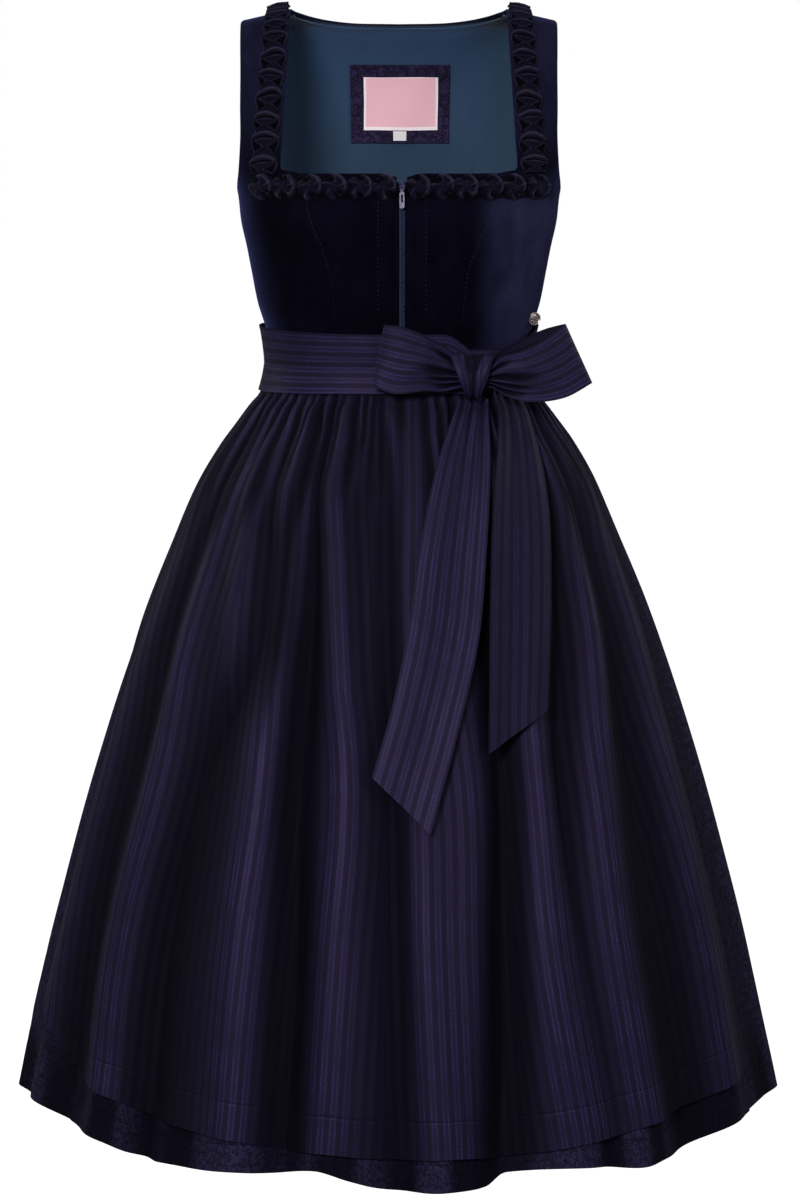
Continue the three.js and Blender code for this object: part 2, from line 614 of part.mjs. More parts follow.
// ---- ruched trims ---------------------------------------------------------------------------
// A band of puffs. run goes along the band and side across it, both 0 to 1; place gives the
// point of the cloth under it, and the puffs stand out from there.
const PUFF_HEIGHT = 5;
const TRIM_OUT = CLOTH + 0.2;
function ruche(name, place, count, flip) {
  const chart = (a, b) => {
    const run = flip ? a : b;
    const side = flip ? b : a;
    const puff = Math.abs(Math.sin(Math.PI * count * run)) ** 0.8;
    const across = Math.max(0, Math.sin(Math.PI * THREE.MathUtils.clamp(side, 0, 1))) ** 0.6;
    const spread = 0.5 + (side - 0.5) * (0.84 + 0.16 * puff);
    const base = flip ? place(run, spread) : place(spread, run);
    const under = flip ? (p, q) => place(p, q) : (p, q) => place(p, q);
    const n = flip ? normalAt(under, run, spread) : normalAt(under, spread, run);
    return base.addScaledVector(n, TRIM_OUT + PUFF_HEIGHT * across * (0.35 + 0.65 * puff));
  };
  const runs = steps(count * 3);
  const sides = [0, 0.14, 0.5, 0.86, 1];
  const columns = flip ? runs : sides;
  const rows = flip ? sides : runs;
  dirndl.add(wall(name, chart, columns, rows, { thick: 1.5 }));
}
for (const [side, sign] of [
  ["right", -1],
  ["left", 1],
]) {
  const STRAP_TRIM = [
    { v: 0, near: 97.5, far: 119.5 },
    { v: 3, near: 99.5, far: 122.5 },
    { v: 6, near: 104.5, far: 129 },
    { v: 7, near: 105.5, far: 131 },
  ];
  const strap = (a, run) => {
    const v = mix(0.12, 6.86, run);
    const near = along(STRAP_TRIM, "v", "near", v);
    const far = along(STRAP_TRIM, "v", "far", v);
    const x = sign > 0 ? mix(near, far, a) : -mix(far, near, a);
    return bodicePoint(-1, angleAt(x, v), v);
  };
  ruche("ruche_strap_" + side, strap, 9, false);
  const start = ZIP_X + sign * 4.6;
  const neckline = (run, b) => {
    const x = sign > 0 ? mix(start, 131, run) : mix(-131, start, run);
    const v = mix(7.04, 8.08, b);
    return bodicePoint(-1, angleAt(x, v), v);
  };
  ruche("ruche_neck_" + side, neckline, 6, true);
}

// ---- skirt and apron --------------------------------------------------------------------------
const skirtRows = [-322, -336, -346, -357, -372, -395, -430, -480, -545, -620, -700, -780, -860, -930];
const apronColumns = steps(44).map((k) => k * 2 - 1);
const backSteps = steps(46).slice(1, -1);
const skirtColumns = [...apronColumns, ...backSteps.map((k) => 1 + k * 2)];
const skirtChartPlain = skirtChart(0);
// A height between two of the rows; the row after the last one is the hem.
function rowHeight(rows, hem, b) {
  const i = THREE.MathUtils.clamp(Math.floor(b), 0, rows.length - 1);
  const lower = i + 1 < rows.length ? rows[i + 1] : hem;
  return mix(rows[i], lower, b - i);
}
// Where a fold stands out, its hem hangs a little higher.
const HEM_LIFT = 0.3;
function hemOf(u) {
  const angle = skirtAngle(u, SKIRT_HEM);
  const level = along(HEM_LINE, "angle", "z", angle > 180 ? angle - 360 : angle);
  return level + HEM_LIFT * foldOut(angle, SKIRT_HEM);
}
dirndl.add(
  wall(
    "skirt",
    (u, b) => skirtChartPlain(u, rowHeight(skirtRows, hemOf(u), b)),
    skirtColumns,
    Array.from({ length: skirtRows.length + 1 }, (_, i) => i),
    { ring: true },
  ),
);

// The apron's rows are the skirt's own, down to its hem, which rises to the sides.
const apronTop = -347;
const apronRows = [apronTop, ...skirtRows.slice(3)];
const apronLast = apronRows.length;
const apronChart = skirtChart(APRON_OUT);
const apronHeight = (u, b) => {
  const level = along(APRON_HEM, "u", "z", u);
  return rowHeight(apronRows, level + HEM_LIFT * foldOut(skirtAngle(u, level), level), b);
};
dirndl.add(
  wall(
    "apron",
    (u, b) => apronChart(u, apronHeight(u, b)),
    apronColumns,
    Array.from({ length: apronLast + 1 }, (_, i) => i),
  ),
);

// ---- bands at the waist -----------------------------------------------------------------------
// A band between two angles; top and bottom give its edges at an angle.
function band(name, from, to, top, bottom, out, count, thick = CLOTH) {
  const chart = (a, b) => {
    const angle = mix(from, to, a);
    return waistPoint(angle, mix(top(angle), bottom(angle), b), out(angle));
  };
  dirndl.add(wall(name, chart, steps(count), steps(2), { thick }));
}
band("apron_waistband", -78, 73, () => -305, () => -346.5, () => 3.1, 22);
// Each tie comes round from the back to the knot; at the back the left one lies on the right.
// Towards the knot their top edges run down together, by DRAWN_IN.
const knotAngle = 33;
const DRAWN_IN = 22;
function drawnIn(angle) {
  const away = angle - knotAngle;
  return DRAWN_IN * (away > 0 ? Math.max(0, 1 - away / 52) : 1 - THREE.MathUtils.smoothstep(-away, 0, 20));
}
const tieTop = (angle) => TIE_TOP - 2.5 * Math.cos(rad(angle)) ** 2 - drawnIn(angle);
const tieBottom = (angle) => TIE_BOTTOM + 3 * Math.cos(rad(angle)) ** 2;
const slant = (angle) => 8 * THREE.MathUtils.smoothstep(Math.abs(angle), 150, 205);
const TIE_OUT = 5.5;
const overBack = (angle) => TIE_OUT + 3.6 * THREE.MathUtils.smoothstep(Math.abs(angle), 135, 152);
band(
  "tie_right",
  -205,
  knotAngle - 1,
  (angle) => tieTop(angle) - slant(angle),
  (angle) => tieBottom(angle) - slant(angle) * 0.4,
  () => TIE_OUT,
  34,
);
band(
  "tie_left",
  knotAngle + 1,
  205,
  (angle) => tieTop(angle) + slant(angle) * 0.4,
  (angle) => tieBottom(angle) + slant(angle),
  overBack,
  28,
);

// ---- bow --------------------------------------------------------------------------------------
// A loop: the strip goes out along the back, folds, and comes back along the front.
function loop(name, shape, sign) {
  const chart = (a, b) => {
    const turn = Math.PI * mix(0.1, 1.9, a);
    const reach = (1 - Math.cos(turn)) / 2;
    const row = (column) => along(shape.rows, "reach", column, reach);
    const end = mix(shape.foldTop, shape.foldBottom, b);
    const x = mix(shape.start, end, reach);
    const open = shape.bulge * (0.35 + 0.65 * Math.min(1, reach * 2.2));
    const y = row("y") + open * Math.sin(turn) + 1.2 * Math.sin(b * 9) * (1 - reach);
    return new THREE.Vector3(x, y, mix(row("top"), row("bottom"), b));
  };
  const turned = sign > 0 ? chart : (a, b) => chart(1 - a, b);
  dirndl.add(wall(name, turned, steps(20), steps(3), { thick: 1.3 }));
}
loop("bow_loop_right", LOOP_RIGHT, 1);
loop("bow_loop_left", LOOP_LEFT, -1);

// The knot is a turn of the tie round the pinched loops: a tube along X, narrow at the bottom.
const KNOT_SIZE = { deep: 12.5, high: 20.5, half: 17 };
const knotChart = (a, b) => {
  const turn = a * Math.PI * 2;
  const along01 = b * 2 - 1;
  const waist = 1 - 0.12 * along01 * along01 + 0.03 * Math.sin(3 * turn + b * 4);
  return new THREE.Vector3(
    KNOT.x + along01 * KNOT_SIZE.half * mix(0.5, 1.08, (1 + Math.cos(turn)) / 2),
    KNOT.y + KNOT_SIZE.deep * waist * Math.sin(turn),
    KNOT.z + KNOT_SIZE.high * waist * Math.cos(turn),
  );
};
dirndl.add(wall("bow_knot", knotChart, steps(18).slice(0, -1), steps(4), { ring: true }));

// Tails hang from the knot over the apron and end in a slant.
function tail(name, edges, phase) {
  const chart = (a, b) => {
    const row = (column) => along(edges, "t", column, b);
    const x = mix(row("x0"), row("x1"), a);
    const z = mix(row("z0"), row("z1"), a);
    const section = (column) => along(SKIRT, "z", column, z);
    const share = 1 - (Math.abs(x) / section("half")) ** section("power");
    const smooth = section("front") * share ** (1 / section("power"));
    const creases = 2.6 * Math.sin(a * 7 + phase) * (1 - 0.4 * b) * Math.min(1, 0.3 + b * 4);
    const out = along(TAIL_CLEARANCE, "z", "out", z);
    return new THREE.Vector3(x, -smooth - out - creases, z);
  };
  dirndl.add(wall(name, chart, steps(5), steps(12), { thick: 1.3 }));
}
tail("bow_tail_right", TAIL_RIGHT, 0.4);
tail("bow_tail_left", TAIL_LEFT, 2);

// ---- button -----------------------------------------------------------------------------------
const BUTTON = { radius: 6.2, thick: 2.2, dome: 1.4, x: 119, v: 12.44 };
const buttonAngle = angleAt(BUTTON.x, BUTTON.v);
const buttonChart = (a, v) => bodicePoint(-1, a, v);
const buttonSeat = buttonChart(buttonAngle, BUTTON.v);
const buttonNormal = normalAt(buttonChart, buttonAngle, BUTTON.v);
const profile = [
  [0, 0],
  [BUTTON.radius * 0.7, 0],
  [BUTTON.radius, 0.8],
  [BUTTON.radius, BUTTON.thick],
  [BUTTON.radius * 0.6, BUTTON.thick + BUTTON.dome],
  [0, BUTTON.thick + BUTTON.dome],
].map(([r, h]) => new THREE.Vector2(r, h));
const button = new THREE.LatheGeometry(profile, 20);
const up = new THREE.Vector3(0, 1, 0);
button.applyQuaternion(new THREE.Quaternion().setFromUnitVectors(up, buttonNormal));
const buttonOut = buttonSeat.addScaledVector(buttonNormal, 0.35);
button.translate(buttonOut.x, buttonOut.y, buttonOut.z);
dirndl.add(named("button", geometryOf(solidOf(button))));

export default dirndl;
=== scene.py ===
# %% [markdown]
# # A dirndl, cut and sewn in Blender
# The dress has a velvet bodice with a zip and ruched trim, a jacquard skirt, and a striped
# satin apron whose ties go round the waist to a bow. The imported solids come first: they are
# the frame that every piece of cloth is laid on, so nothing has to be fitted by eye.

# %% Load the frame
import math

import bmesh
import bpy
import numpy as np
from mathutils import Matrix, Vector


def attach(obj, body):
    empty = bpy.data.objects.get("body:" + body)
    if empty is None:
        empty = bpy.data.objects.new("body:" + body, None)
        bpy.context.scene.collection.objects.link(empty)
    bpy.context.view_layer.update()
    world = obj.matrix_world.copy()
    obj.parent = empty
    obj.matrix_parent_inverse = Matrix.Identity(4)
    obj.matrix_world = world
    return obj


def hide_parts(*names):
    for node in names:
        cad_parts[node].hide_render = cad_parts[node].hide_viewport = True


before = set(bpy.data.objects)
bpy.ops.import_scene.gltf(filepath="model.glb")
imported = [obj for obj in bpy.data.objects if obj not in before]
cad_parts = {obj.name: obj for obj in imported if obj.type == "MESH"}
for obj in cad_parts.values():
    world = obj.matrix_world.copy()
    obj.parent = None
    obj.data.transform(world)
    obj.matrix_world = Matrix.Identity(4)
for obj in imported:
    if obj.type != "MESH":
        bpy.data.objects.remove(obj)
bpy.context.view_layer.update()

# %% [markdown]
# ## Reading a pattern card
# A maker's card lists sizes at a few heights, and the cloth runs smoothly between them.
# `along` does the same for whole arrays of points: a cubic curve through the rows of a table,
# whose slope at each row comes from its two neighbours. All sizes are in millimetres.

# %% Curves through the sizes
MM = 0.001


def along(table, column, at):
    rows = np.array(table, float)
    x, y = rows[:, 0], rows[:, column]
    if x[0] > x[-1]:
        x, y = x[::-1], y[::-1]
    at = np.clip(np.asarray(at, float), x[0], x[-1])
    last = len(x) - 1
    slope = np.empty(last + 1)
    slope[1:-1] = (y[2:] - y[:-2]) / (x[2:] - x[:-2])
    slope[0] = (y[1] - y[0]) / (x[1] - x[0])
    slope[-1] = (y[-1] - y[-2]) / (x[-1] - x[-2])
    i = np.clip(np.searchsorted(x, at, side="left") - 1, 0, last - 1)
    span = x[i + 1] - x[i]
    k = (at - x[i]) / span
    return (
        (2 * k**3 - 3 * k**2 + 1) * y[i]
        + (k**3 - 2 * k**2 + k) * span * slope[i]
        + (3 * k**2 - 2 * k**3) * y[i + 1]
        + (k**3 - k**2) * span * slope[i + 1]
    )


def power(value, exponent):
    return np.sign(value) * np.abs(value) ** exponent


def mix(first, second, share):
    return first + (second - first) * share


def ease(value, low, high):
    t = np.clip((value - low) / (high - low), 0, 1)
    return t * t * (3 - 2 * t)


def line(distance, width):
    """A soft ridge where a distance is nought."""
    return np.exp(-((distance / width) ** 2))


def xyz(x, y, z):
    return np.stack(np.broadcast_arrays(x, y, z), axis=-1).astype(float)


print("halfway down a 10 mm step the curve is at", float(along([(0, 0), (10, 10)], 1, 5)), "mm")

# %% [markdown]
# ## The form of the bodice
# The bodice is a tube that is squarer than an ellipse. Its rows go from the shoulder seam, 0,
# to the waist seam, 14, and front and back have their own heights, since each leaves the
# shoulder in its own direction. A soft swell over each side of the front makes the bust.

# %% Bodice sizes
CLOTH = 1.6
LINING_OUT = -5.7
SEAM = 0.2
ZIP_X = 2.7
NECK_ROW, WAIST_ROW = 7, 14
SIDES = (("right", -1), ("left", 1))
HALF, FRONT_Z, FRONT, BACK_Z, BACK, BUST, ARMHOLE = range(1, 8)
BODICE = [
    (0, 158, -6, 1, -6, 0.6, 0, 58.9),
    (1, 158, -9, 12, -8, 16, 0, 60.2),
    (2, 158, -17, 26, -11, 34, 0, 60.6),
    (3, 158, -35, 41, -18, 53, 0, 60.6),
    (4, 157, -62, 56, -38, 70, 0, 61.2),
    (5, 156, -92, 70, -68, 83, 0, 62.3),
    (6, 154, -122, 83, -103, 91, 2, 64.1),
    (7, 150, -150, 93, -138, 95, 5, 71),
    (7.5, 147, -161, 96.5, -153, 96, 6.5, 79),
    (8, 144.5, -172, 99, -168, 96.5, 8, 90),
    (9, 142, -195, 102, -195, 95, 10, 90),
    (10, 137, -218, 101.5, -218, 92, 9, 90),
    (11, 132.5, -242, 99, -242, 87.5, 6, 90),
    (12, 127.5, -268, 94, -268, 82, 3, 90),
    (13, 119.5, -295, 89, -295, 78.5, 0, 90),
    (14, 117, -321.7, 87, -321.7, 78, 0, 90),
]
FRONT_SEAM = [(7, 86), (8, 82), (9, 76), (10, 66), (11, 59.5), (12, 57), (14, 57)]
STRAP_EDGE = [(0, 95.5), (3, 97.5), (6, 102.5), (6.7, 104), (6.93, 101), (7, 86)]
BACK_SEAM = [(6, 137), (6.3, 110), (6.7, 88), (7.2, 74), (8, 68), (10, 60), (14, 48)]
# The back's neck edge: its row by the place across, where half the back counts as 141.5.
BACK_NECK = [(0, 3.02), (30, 2.92), (52, 2.5), (66, 1.75), (74, 0.9), (78, 0)]
BACK_HALF = 141.5
# The side backs start a little above the armhole's corner, under the back's own edge.
SIDE_BACK_TOP = 5.92


def bodice_point(face, angle, v):
    """A point of the bodice: face -1 is the front, angle 0 its middle and 90 the side seam."""
    turn = np.radians(angle)
    x = along(BODICE, HALF, v) * power(np.sin(turn), 0.8)
    depth = power(np.cos(turn), 0.8)
    side = np.abs(x)
    fall = 0.24 * np.maximum(0, side - 95) * np.clip(1 - v / 5, 0, 1)
    if face > 0:
        return xyz(x, along(BODICE, BACK, v) * depth + SEAM, along(BODICE, BACK_Z, v) - fall)
    bust = along(BODICE, BUST, v) * line(side - 66, 34)
    return xyz(x, -(along(BODICE, FRONT, v) + bust) * depth - SEAM, along(BODICE, FRONT_Z, v) - fall)


def angle_at(x, v):
    share = np.clip(x / along(BODICE, HALF, v), -1, 1)
    return np.degrees(np.arcsin(power(share, 1.25)))


print("bust", round(float(along(BODICE, HALF, 9)) * 2), "mm wide")

# %% [markdown]
# ## Laying cloth
# A piece of cloth here is a grid that `create_grid` makes flat, as cloth comes off the roll.
# Each of its points is then moved to a place that a chart gives for it, `chart(a, b)` with a
# going across and b going down. Solidify gives the cloth its thickness inwards. The grid's UV
# map keeps the length of the threads in metres, measured along the cloth itself, so that every
# weave and stripe comes out in its true size. `rolled` edges turn in, as at a real seam. A
# second attribute, "ridge", tells the finish where the cloth stands out, 1, and where it is
# tucked away in a fold, 0. With it the finishes paint shade into the folds and sheen onto the
# ridges, and make the satin and the jacquard rougher in the folds.


# %% A sheet of cloth
ROLL_REACH, ROLL_DEPTH = 2.6, 0.9


def normals(chart, a, b):
    """The directions that stand out of a chart at its points, from four close neighbours."""
    e = 1e-3
    across = chart(a + e, b) - chart(a - e, b)
    down = chart(a, b + e) - chart(a, b - e)
    n = np.cross(down, across)
    return n / np.maximum(np.linalg.norm(n, axis=-1, keepdims=True), 1e-9)


def lengths(points, rows, columns):
    """Cloth lengths in mm from the left edge and from the bottom edge, for every point."""
    p = points.reshape(rows + 1, columns + 1, 3)
    across = np.linalg.norm(np.diff(p, axis=1), axis=2)
    across = np.concatenate([np.zeros((rows + 1, 1)), np.cumsum(across, axis=1)], axis=1)
    up = np.linalg.norm(np.diff(p, axis=0), axis=2)
    up = np.concatenate([np.zeros((1, columns + 1)), np.cumsum(up, axis=0)])
    return across, up


def to_object(bm, name):
    """Makes a bmesh a smooth object whose own place is the origin, and frees the bmesh."""
    mesh = bpy.data.meshes.new(name)
    bm.to_mesh(mesh)
    bm.free()
    piece = bpy.data.objects.new(name, mesh)
    bpy.context.scene.collection.objects.link(piece)
    for face in mesh.polygons:
        face.use_smooth = True
    return piece


# %% Tying a piece to the frame
def dress(piece, nodes):
    """Ties a finished piece to the frame: it joins the dress's body and hides the solids it stands for."""
    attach(piece, "dress")
    if nodes:
        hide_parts(*nodes)


# %% A sheet from a grid
def cloth(name, chart, columns, rows, thick=CLOTH, out=0.0, rolled="", threads=None, ring=False, ridge=None):
    """Lays a grid of columns x rows on a chart; `out` lifts it, and a `ring` is closed round."""
    bm = bmesh.new()
    uv = bm.loops.layers.uv.new("threads")
    bmesh.ops.create_grid(bm, x_segments=columns, y_segments=rows, size=0.5)
    flat = np.array([v.co[:] for v in bm.verts])
    a, b = flat[:, 0] + 0.5, 0.5 - flat[:, 1]
    n = normals(chart, a, b)
    points = chart(a, b) + n * out
    across, up = lengths(points, rows, columns)
    edges = {"left": across, "right": across[:, -1:] - across, "top": up[-1:] - up}
    for edge in rolled.split():
        near = np.clip(1 - edges[edge] / ROLL_REACH, 0, 1) ** 2
        points -= n * ROLL_DEPTH * near.reshape(-1, 1)
    u, v = (across - across[:, -1:] / 2) * MM, up * MM
    if threads:
        u, v = threads(a.reshape(u.shape), b.reshape(u.shape), u, v)
    u, v = u.ravel(), v.ravel()
    bm.verts.index_update()
    for face in bm.faces:
        for loop in face.loops:
            i = loop.vert.index
            loop[uv].uv = (u[i], v[i])
    lit = bm.verts.layers.float.new("ridge")
    for vert, value in zip(bm.verts, ridge(a, b) if ridge else np.ones(len(a))):
        vert[lit] = value
    for vert, point in zip(bm.verts, points * MM):
        vert.co = point
    if ring:
        bmesh.ops.remove_doubles(bm, verts=bm.verts[:], dist=1e-6)
    for edge in bm.edges:
        edge.smooth = not edge.is_boundary
    piece = to_object(bm, name)
    wall = piece.modifiers.new("thickness", "SOLIDIFY")
    wall.thickness = thick * MM
    wall.offset = -1
    wall.use_quality_normals = True
    return piece


# %% The flat cut
def cut(piece, width, length):
    laid = sum(face.area for face in piece.data.polygons)
    print(f"{piece.name}: cut {width:.3f} x {length:.3f} m, laid {laid:.4f} m2")
    return piece


def closer(t, much=0.75):
    """Brings the columns closer together towards both edges, where seams turn in."""
    return t - much / (2 * np.pi) * np.sin(2 * np.pi * t)


print("cloth is", CLOTH, "mm thick, and a rolled edge turns in by", ROLL_DEPTH, "mm")

# %% [markdown]
# ## Nodes in few words
# Every finish below is built from shader nodes. `put` adds a node and fills its sockets,
# joining those that are given another node's output, and `calc` is one step of arithmetic.
# An effect that several finishes need becomes a node group with named inputs and outputs.


# %% Node helpers
def join(tree, value, socket):
    if isinstance(value, bpy.types.NodeSocket):
        tree.links.new(value, socket)
    else:
        socket.default_value = value


def put(tree, kind, inputs=(), **settings):
    made = tree.nodes.new("ShaderNode" + kind)
    for key, value in settings.items():
        setattr(made, key, value)
    for key, value in dict(inputs).items():
        join(tree, value, made.inputs[key])
    return made


def calc(tree, operation, *values):
    made = tree.nodes.new("ShaderNodeMath")
    made.operation = operation
    for value, socket in zip(values, made.inputs):
        join(tree, value, socket)
    return made.outputs[0]


def apart(tree, value, other):
    """How far a value is from another."""
    return calc(tree, "ABSOLUTE", calc(tree, "SUBTRACT", value, other))


def fit(tree, value, low, high, start=0.0, end=1.0):
    """Brings a value from the range low..high smoothly to start..end."""
    made = put(tree, "MapRange", interpolation_type="SMOOTHSTEP")
    for socket, given in zip(made.inputs, (value, low, high, start, end)):
        join(tree, given, socket)
    return made.outputs[0]


def blend(tree, share, first, second):
    made = put(tree, "Mix", data_type="RGBA")
    for index, given in ((0, share), (6, first), (7, second)):
        join(tree, given, made.inputs[index])
    return made.outputs[2]


def noise(tree, vector, scale, detail=2.0, rough=0.5):
    return put(
        tree, "TexNoise", {"Vector": vector, "Scale": scale, "Detail": detail, "Roughness": rough}
    ).outputs["Fac"]


def axes(tree, vector):
    return put(tree, "SeparateXYZ", {0: vector}).outputs


# %% Groups and finishes
def effect(name, takes, gives):
    tree = bpy.data.node_groups.new(name, "ShaderNodeTree")
    for label, value in takes.items():
        kind = "NodeSocketVector" if value is None else "NodeSocketFloat"
        socket = tree.interface.new_socket(label, in_out="INPUT", socket_type=kind)
        if value is not None:
            socket.default_value = value
    for label in gives:
        tree.interface.new_socket(label, in_out="OUTPUT", socket_type="NodeSocketFloat")
    given = tree.nodes.new("NodeGroupInput").outputs
    result = tree.nodes.new("NodeGroupOutput").inputs
    return tree, given, result


def use(tree, group, inputs):
    made = tree.nodes.new("ShaderNodeGroup")
    made.node_tree = group
    for key, value in inputs.items():
        join(tree, value, made.inputs[key])
    return made.outputs


def finish(name, **sockets):
    """A new material with its Principled shader, whose plain sockets are set at once."""
    material = bpy.data.materials.new(name)
    material.use_nodes = True
    tree = material.node_tree
    tree.nodes.clear()
    shader = put(tree, "BsdfPrincipled")
    end = tree.nodes.new("ShaderNodeOutputMaterial")
    tree.links.new(shader.outputs[0], end.inputs[0])
    for key, value in sockets.items():
        shader.inputs[key.replace("_", " ")].default_value = value
    return material, tree, shader.inputs


def threads_of(tree):
    return put(tree, "UVMap", uv_map="threads").outputs[0]


def place_of(tree):
    return put(tree, "TexCoord").outputs["Object"]


def ridge_of(tree):
    return put(tree, "Attribute", attribute_name="ridge").outputs["Fac"]


def bump(tree, height, strength, distance, normal=None):
    made = put(tree, "Bump", {"Height": height, "Strength": strength, "Distance": distance})
    if normal is not None:
        join(tree, normal, made.inputs["Normal"])
    return made.outputs[0]


print("helpers for nodes", [helper.__name__ for helper in (put, calc, fit, blend, noise, bump)])

# %% [markdown]
# ## Weaves
# A plain weave is a chessboard of threads that pass over and under. A sine along each
# direction of the UV map gives it, at the thread count that the cloth has. It is far smaller
# than a pixel from across a room, and shows when the camera comes close.

# %% The plain weave
weave, given, result = effect("plain weave", {"Threads": None, "Pitch": 0.0005}, ["Height", "Slub"])
part = axes(weave, given["Threads"])
turns = [calc(weave, "DIVIDE", part[i], given["Pitch"]) for i in (0, 1)]
waves = [calc(weave, "SINE", calc(weave, "MULTIPLY", t, math.pi)) for t in turns]
join(weave, calc(weave, "MULTIPLY_ADD", calc(weave, "MULTIPLY", *waves), 0.5, 0.5), result["Height"])
long_threads = put(weave, "CombineXYZ", {0: calc(weave, "MULTIPLY", part[0], 900.0), 1: part[1]}).outputs[0]
cross_threads = put(weave, "CombineXYZ", {0: part[0], 1: calc(weave, "MULTIPLY", part[1], 900.0)}).outputs[0]
slubs = calc(weave, "ADD", noise(weave, long_threads, 1.6), noise(weave, cross_threads, 1.6))
join(weave, calc(weave, "MULTIPLY", slubs, 0.5), result["Slub"])
print(weave.name, len(weave.nodes), "nodes")

# %% [markdown]
# ## Satin stripes
# The apron's stripes run down the cloth. In each repeat one band shines, because its threads
# float on top, and a zigzag line follows both its borders, where two slanting weaves meet. The
# group gives the band, the zigzag and a fine ribbing as masks, and the material colours them.

# %% The striped satin
satin, given, result = effect(
    "satin stripes", {"Threads": None, "Repeat": 0.0105}, ["Band", "Zigzag", "Rib", "Grain"]
)
part = axes(satin, given["Threads"])
place = calc(satin, "FRACT", calc(satin, "DIVIDE", part[0], given["Repeat"]))
from_middle = apart(satin, place, 0.5)
join(satin, fit(satin, from_middle, 0.29, 0.21), result["Band"])
tooth = calc(satin, "PINGPONG", part[1], 0.0013)
lean = calc(satin, "MULTIPLY", calc(satin, "SUBTRACT", tooth, 0.00065), 95.0)
off_line = calc(satin, "SUBTRACT", calc(satin, "SUBTRACT", from_middle, 0.2), lean)
zig_line = fit(satin, calc(satin, "ABSOLUTE", off_line), 0.11, 0.03)
speck = fit(satin, noise(satin, given["Threads"], 900.0, 1.0), 0.4, 0.58, 0.1, 1.0)
alive = fit(satin, noise(satin, given["Threads"], 28.0, 1.0), 0.36, 0.64, 0.4, 1.0)
join(satin, calc(satin, "MULTIPLY", zig_line, calc(satin, "MULTIPLY", speck, alive)), result["Zigzag"])
join(satin, fit(satin, calc(satin, "PINGPONG", part[0], 0.0004), 0.0001, 0.0003), result["Rib"])
stretched = put(satin, "CombineXYZ", {0: part[0], 1: calc(satin, "MULTIPLY", part[1], 0.12)}).outputs[0]
join(satin, noise(satin, stretched, 420.0, 2.0), result["Grain"])
print(satin.name, len(satin.nodes), "nodes")

# %% [markdown]
# ## Scroll ornament
# The skirt's jacquard has small scrolls, dark on dark. Each cell of a brick-like repeat holds
# one curl: a spiral is a stripe whose place depends on both the distance from the cell's
# middle and the angle round it. Every second cell is mirrored, so the curls pair up.

# %% The jacquard scroll
scroll, given, result = effect("scroll ornament", {"Threads": None, "Cell": 0.009}, ["Figure", "Ground"])
cells = put(scroll, "VectorMath", {0: given["Threads"]}, operation="SCALE")
join(scroll, calc(scroll, "DIVIDE", 1.0, given["Cell"]), cells.inputs["Scale"])
wobble = put(scroll, "TexNoise", {"Vector": cells.outputs[0], "Scale": 0.7, "Detail": 1.0})
moved = put(scroll, "VectorMath", {0: wobble.outputs["Color"], 1: (0.55,) * 3, 2: cells.outputs[0]})
moved.operation = "MULTIPLY_ADD"
part = axes(scroll, moved.outputs[0])
row = calc(scroll, "FLOOR", part[1])
odd = calc(scroll, "MODULO", calc(scroll, "ABSOLUTE", row), 2.0)
shifted = calc(scroll, "ADD", part[0], calc(scroll, "MULTIPLY", odd, 0.5))
x = calc(scroll, "SUBTRACT", calc(scroll, "FRACT", shifted), 0.5)
y = calc(scroll, "SUBTRACT", calc(scroll, "FRACT", part[1]), 0.5)
hand = calc(scroll, "SUBTRACT", calc(scroll, "MULTIPLY", odd, 2.0), 1.0)
radius = calc(scroll, "SQRT", calc(scroll, "ADD", calc(scroll, "MULTIPLY", x, x), calc(scroll, "MULTIPLY", y, y)))
around = calc(scroll, "DIVIDE", calc(scroll, "ARCTAN2", y, calc(scroll, "MULTIPLY", x, hand)), 2 * math.pi)
curl = calc(scroll, "FRACT", calc(scroll, "ADD", calc(scroll, "MULTIPLY", radius, 3.6), around))
stroke = fit(scroll, apart(scroll, curl, 0.5), 0.26, 0.12)
inside = fit(scroll, radius, 0.52, 0.42)
leaf = fit(scroll, noise(scroll, moved.outputs[0], 2.3, 1.0), 0.52, 0.58)
join(scroll, calc(scroll, "MAXIMUM", calc(scroll, "MULTIPLY", stroke, inside), leaf), result["Figure"])
join(scroll, noise(scroll, given["Threads"], 1400.0, 1.0), result["Ground"])
print(scroll.name, len(scroll.nodes), "nodes")

# %% [markdown]
# ## Pile and hem stitches
# Velvet is a field of short upright threads. Where they lean, the cloth looks lighter or
# darker, in soft patches as wide as a hand and in fine specks. `stitch row` draws a line of
# stitches at one height above the hem, from the distance that the UV map holds.

# %% Pile and stitch groups
pile, given, result = effect("velvet pile", {"Place": None}, ["Lean", "Speck"])
patches = noise(pile, given["Place"], 9.0, 3.0, 0.6)
streaks = put(pile, "VectorMath", {0: given["Place"], 1: (1.0, 1.0, 0.25)}, operation="MULTIPLY").outputs[0]
strokes = noise(pile, streaks, 60.0, 3.0, 0.6)
join(pile, fit(pile, calc(pile, "ADD", patches, calc(pile, "MULTIPLY", strokes, 0.5)), 0.55, 0.95), result["Lean"])
join(pile, noise(pile, given["Place"], 1500.0, 1.0), result["Speck"])

stitch_row, given, result = effect(
    "stitch row", {"Threads": None, "Height": 0.032, "Pitch": 0.003}, ["Stitch", "Dent"]
)
part = axes(stitch_row, given["Threads"])
away = apart(stitch_row, part[1], given["Height"])
step = calc(stitch_row, "FRACT", calc(stitch_row, "DIVIDE", part[0], given["Pitch"]))
dash = fit(stitch_row, apart(stitch_row, step, 0.5), 0.4, 0.32)
join(stitch_row, calc(stitch_row, "MULTIPLY", dash, fit(stitch_row, away, 0.0004, 0.0002)), result["Stitch"])
join(stitch_row, fit(stitch_row, away, 0.0022, 0.0), result["Dent"])
print("effects", [group.name for group in bpy.data.node_groups])
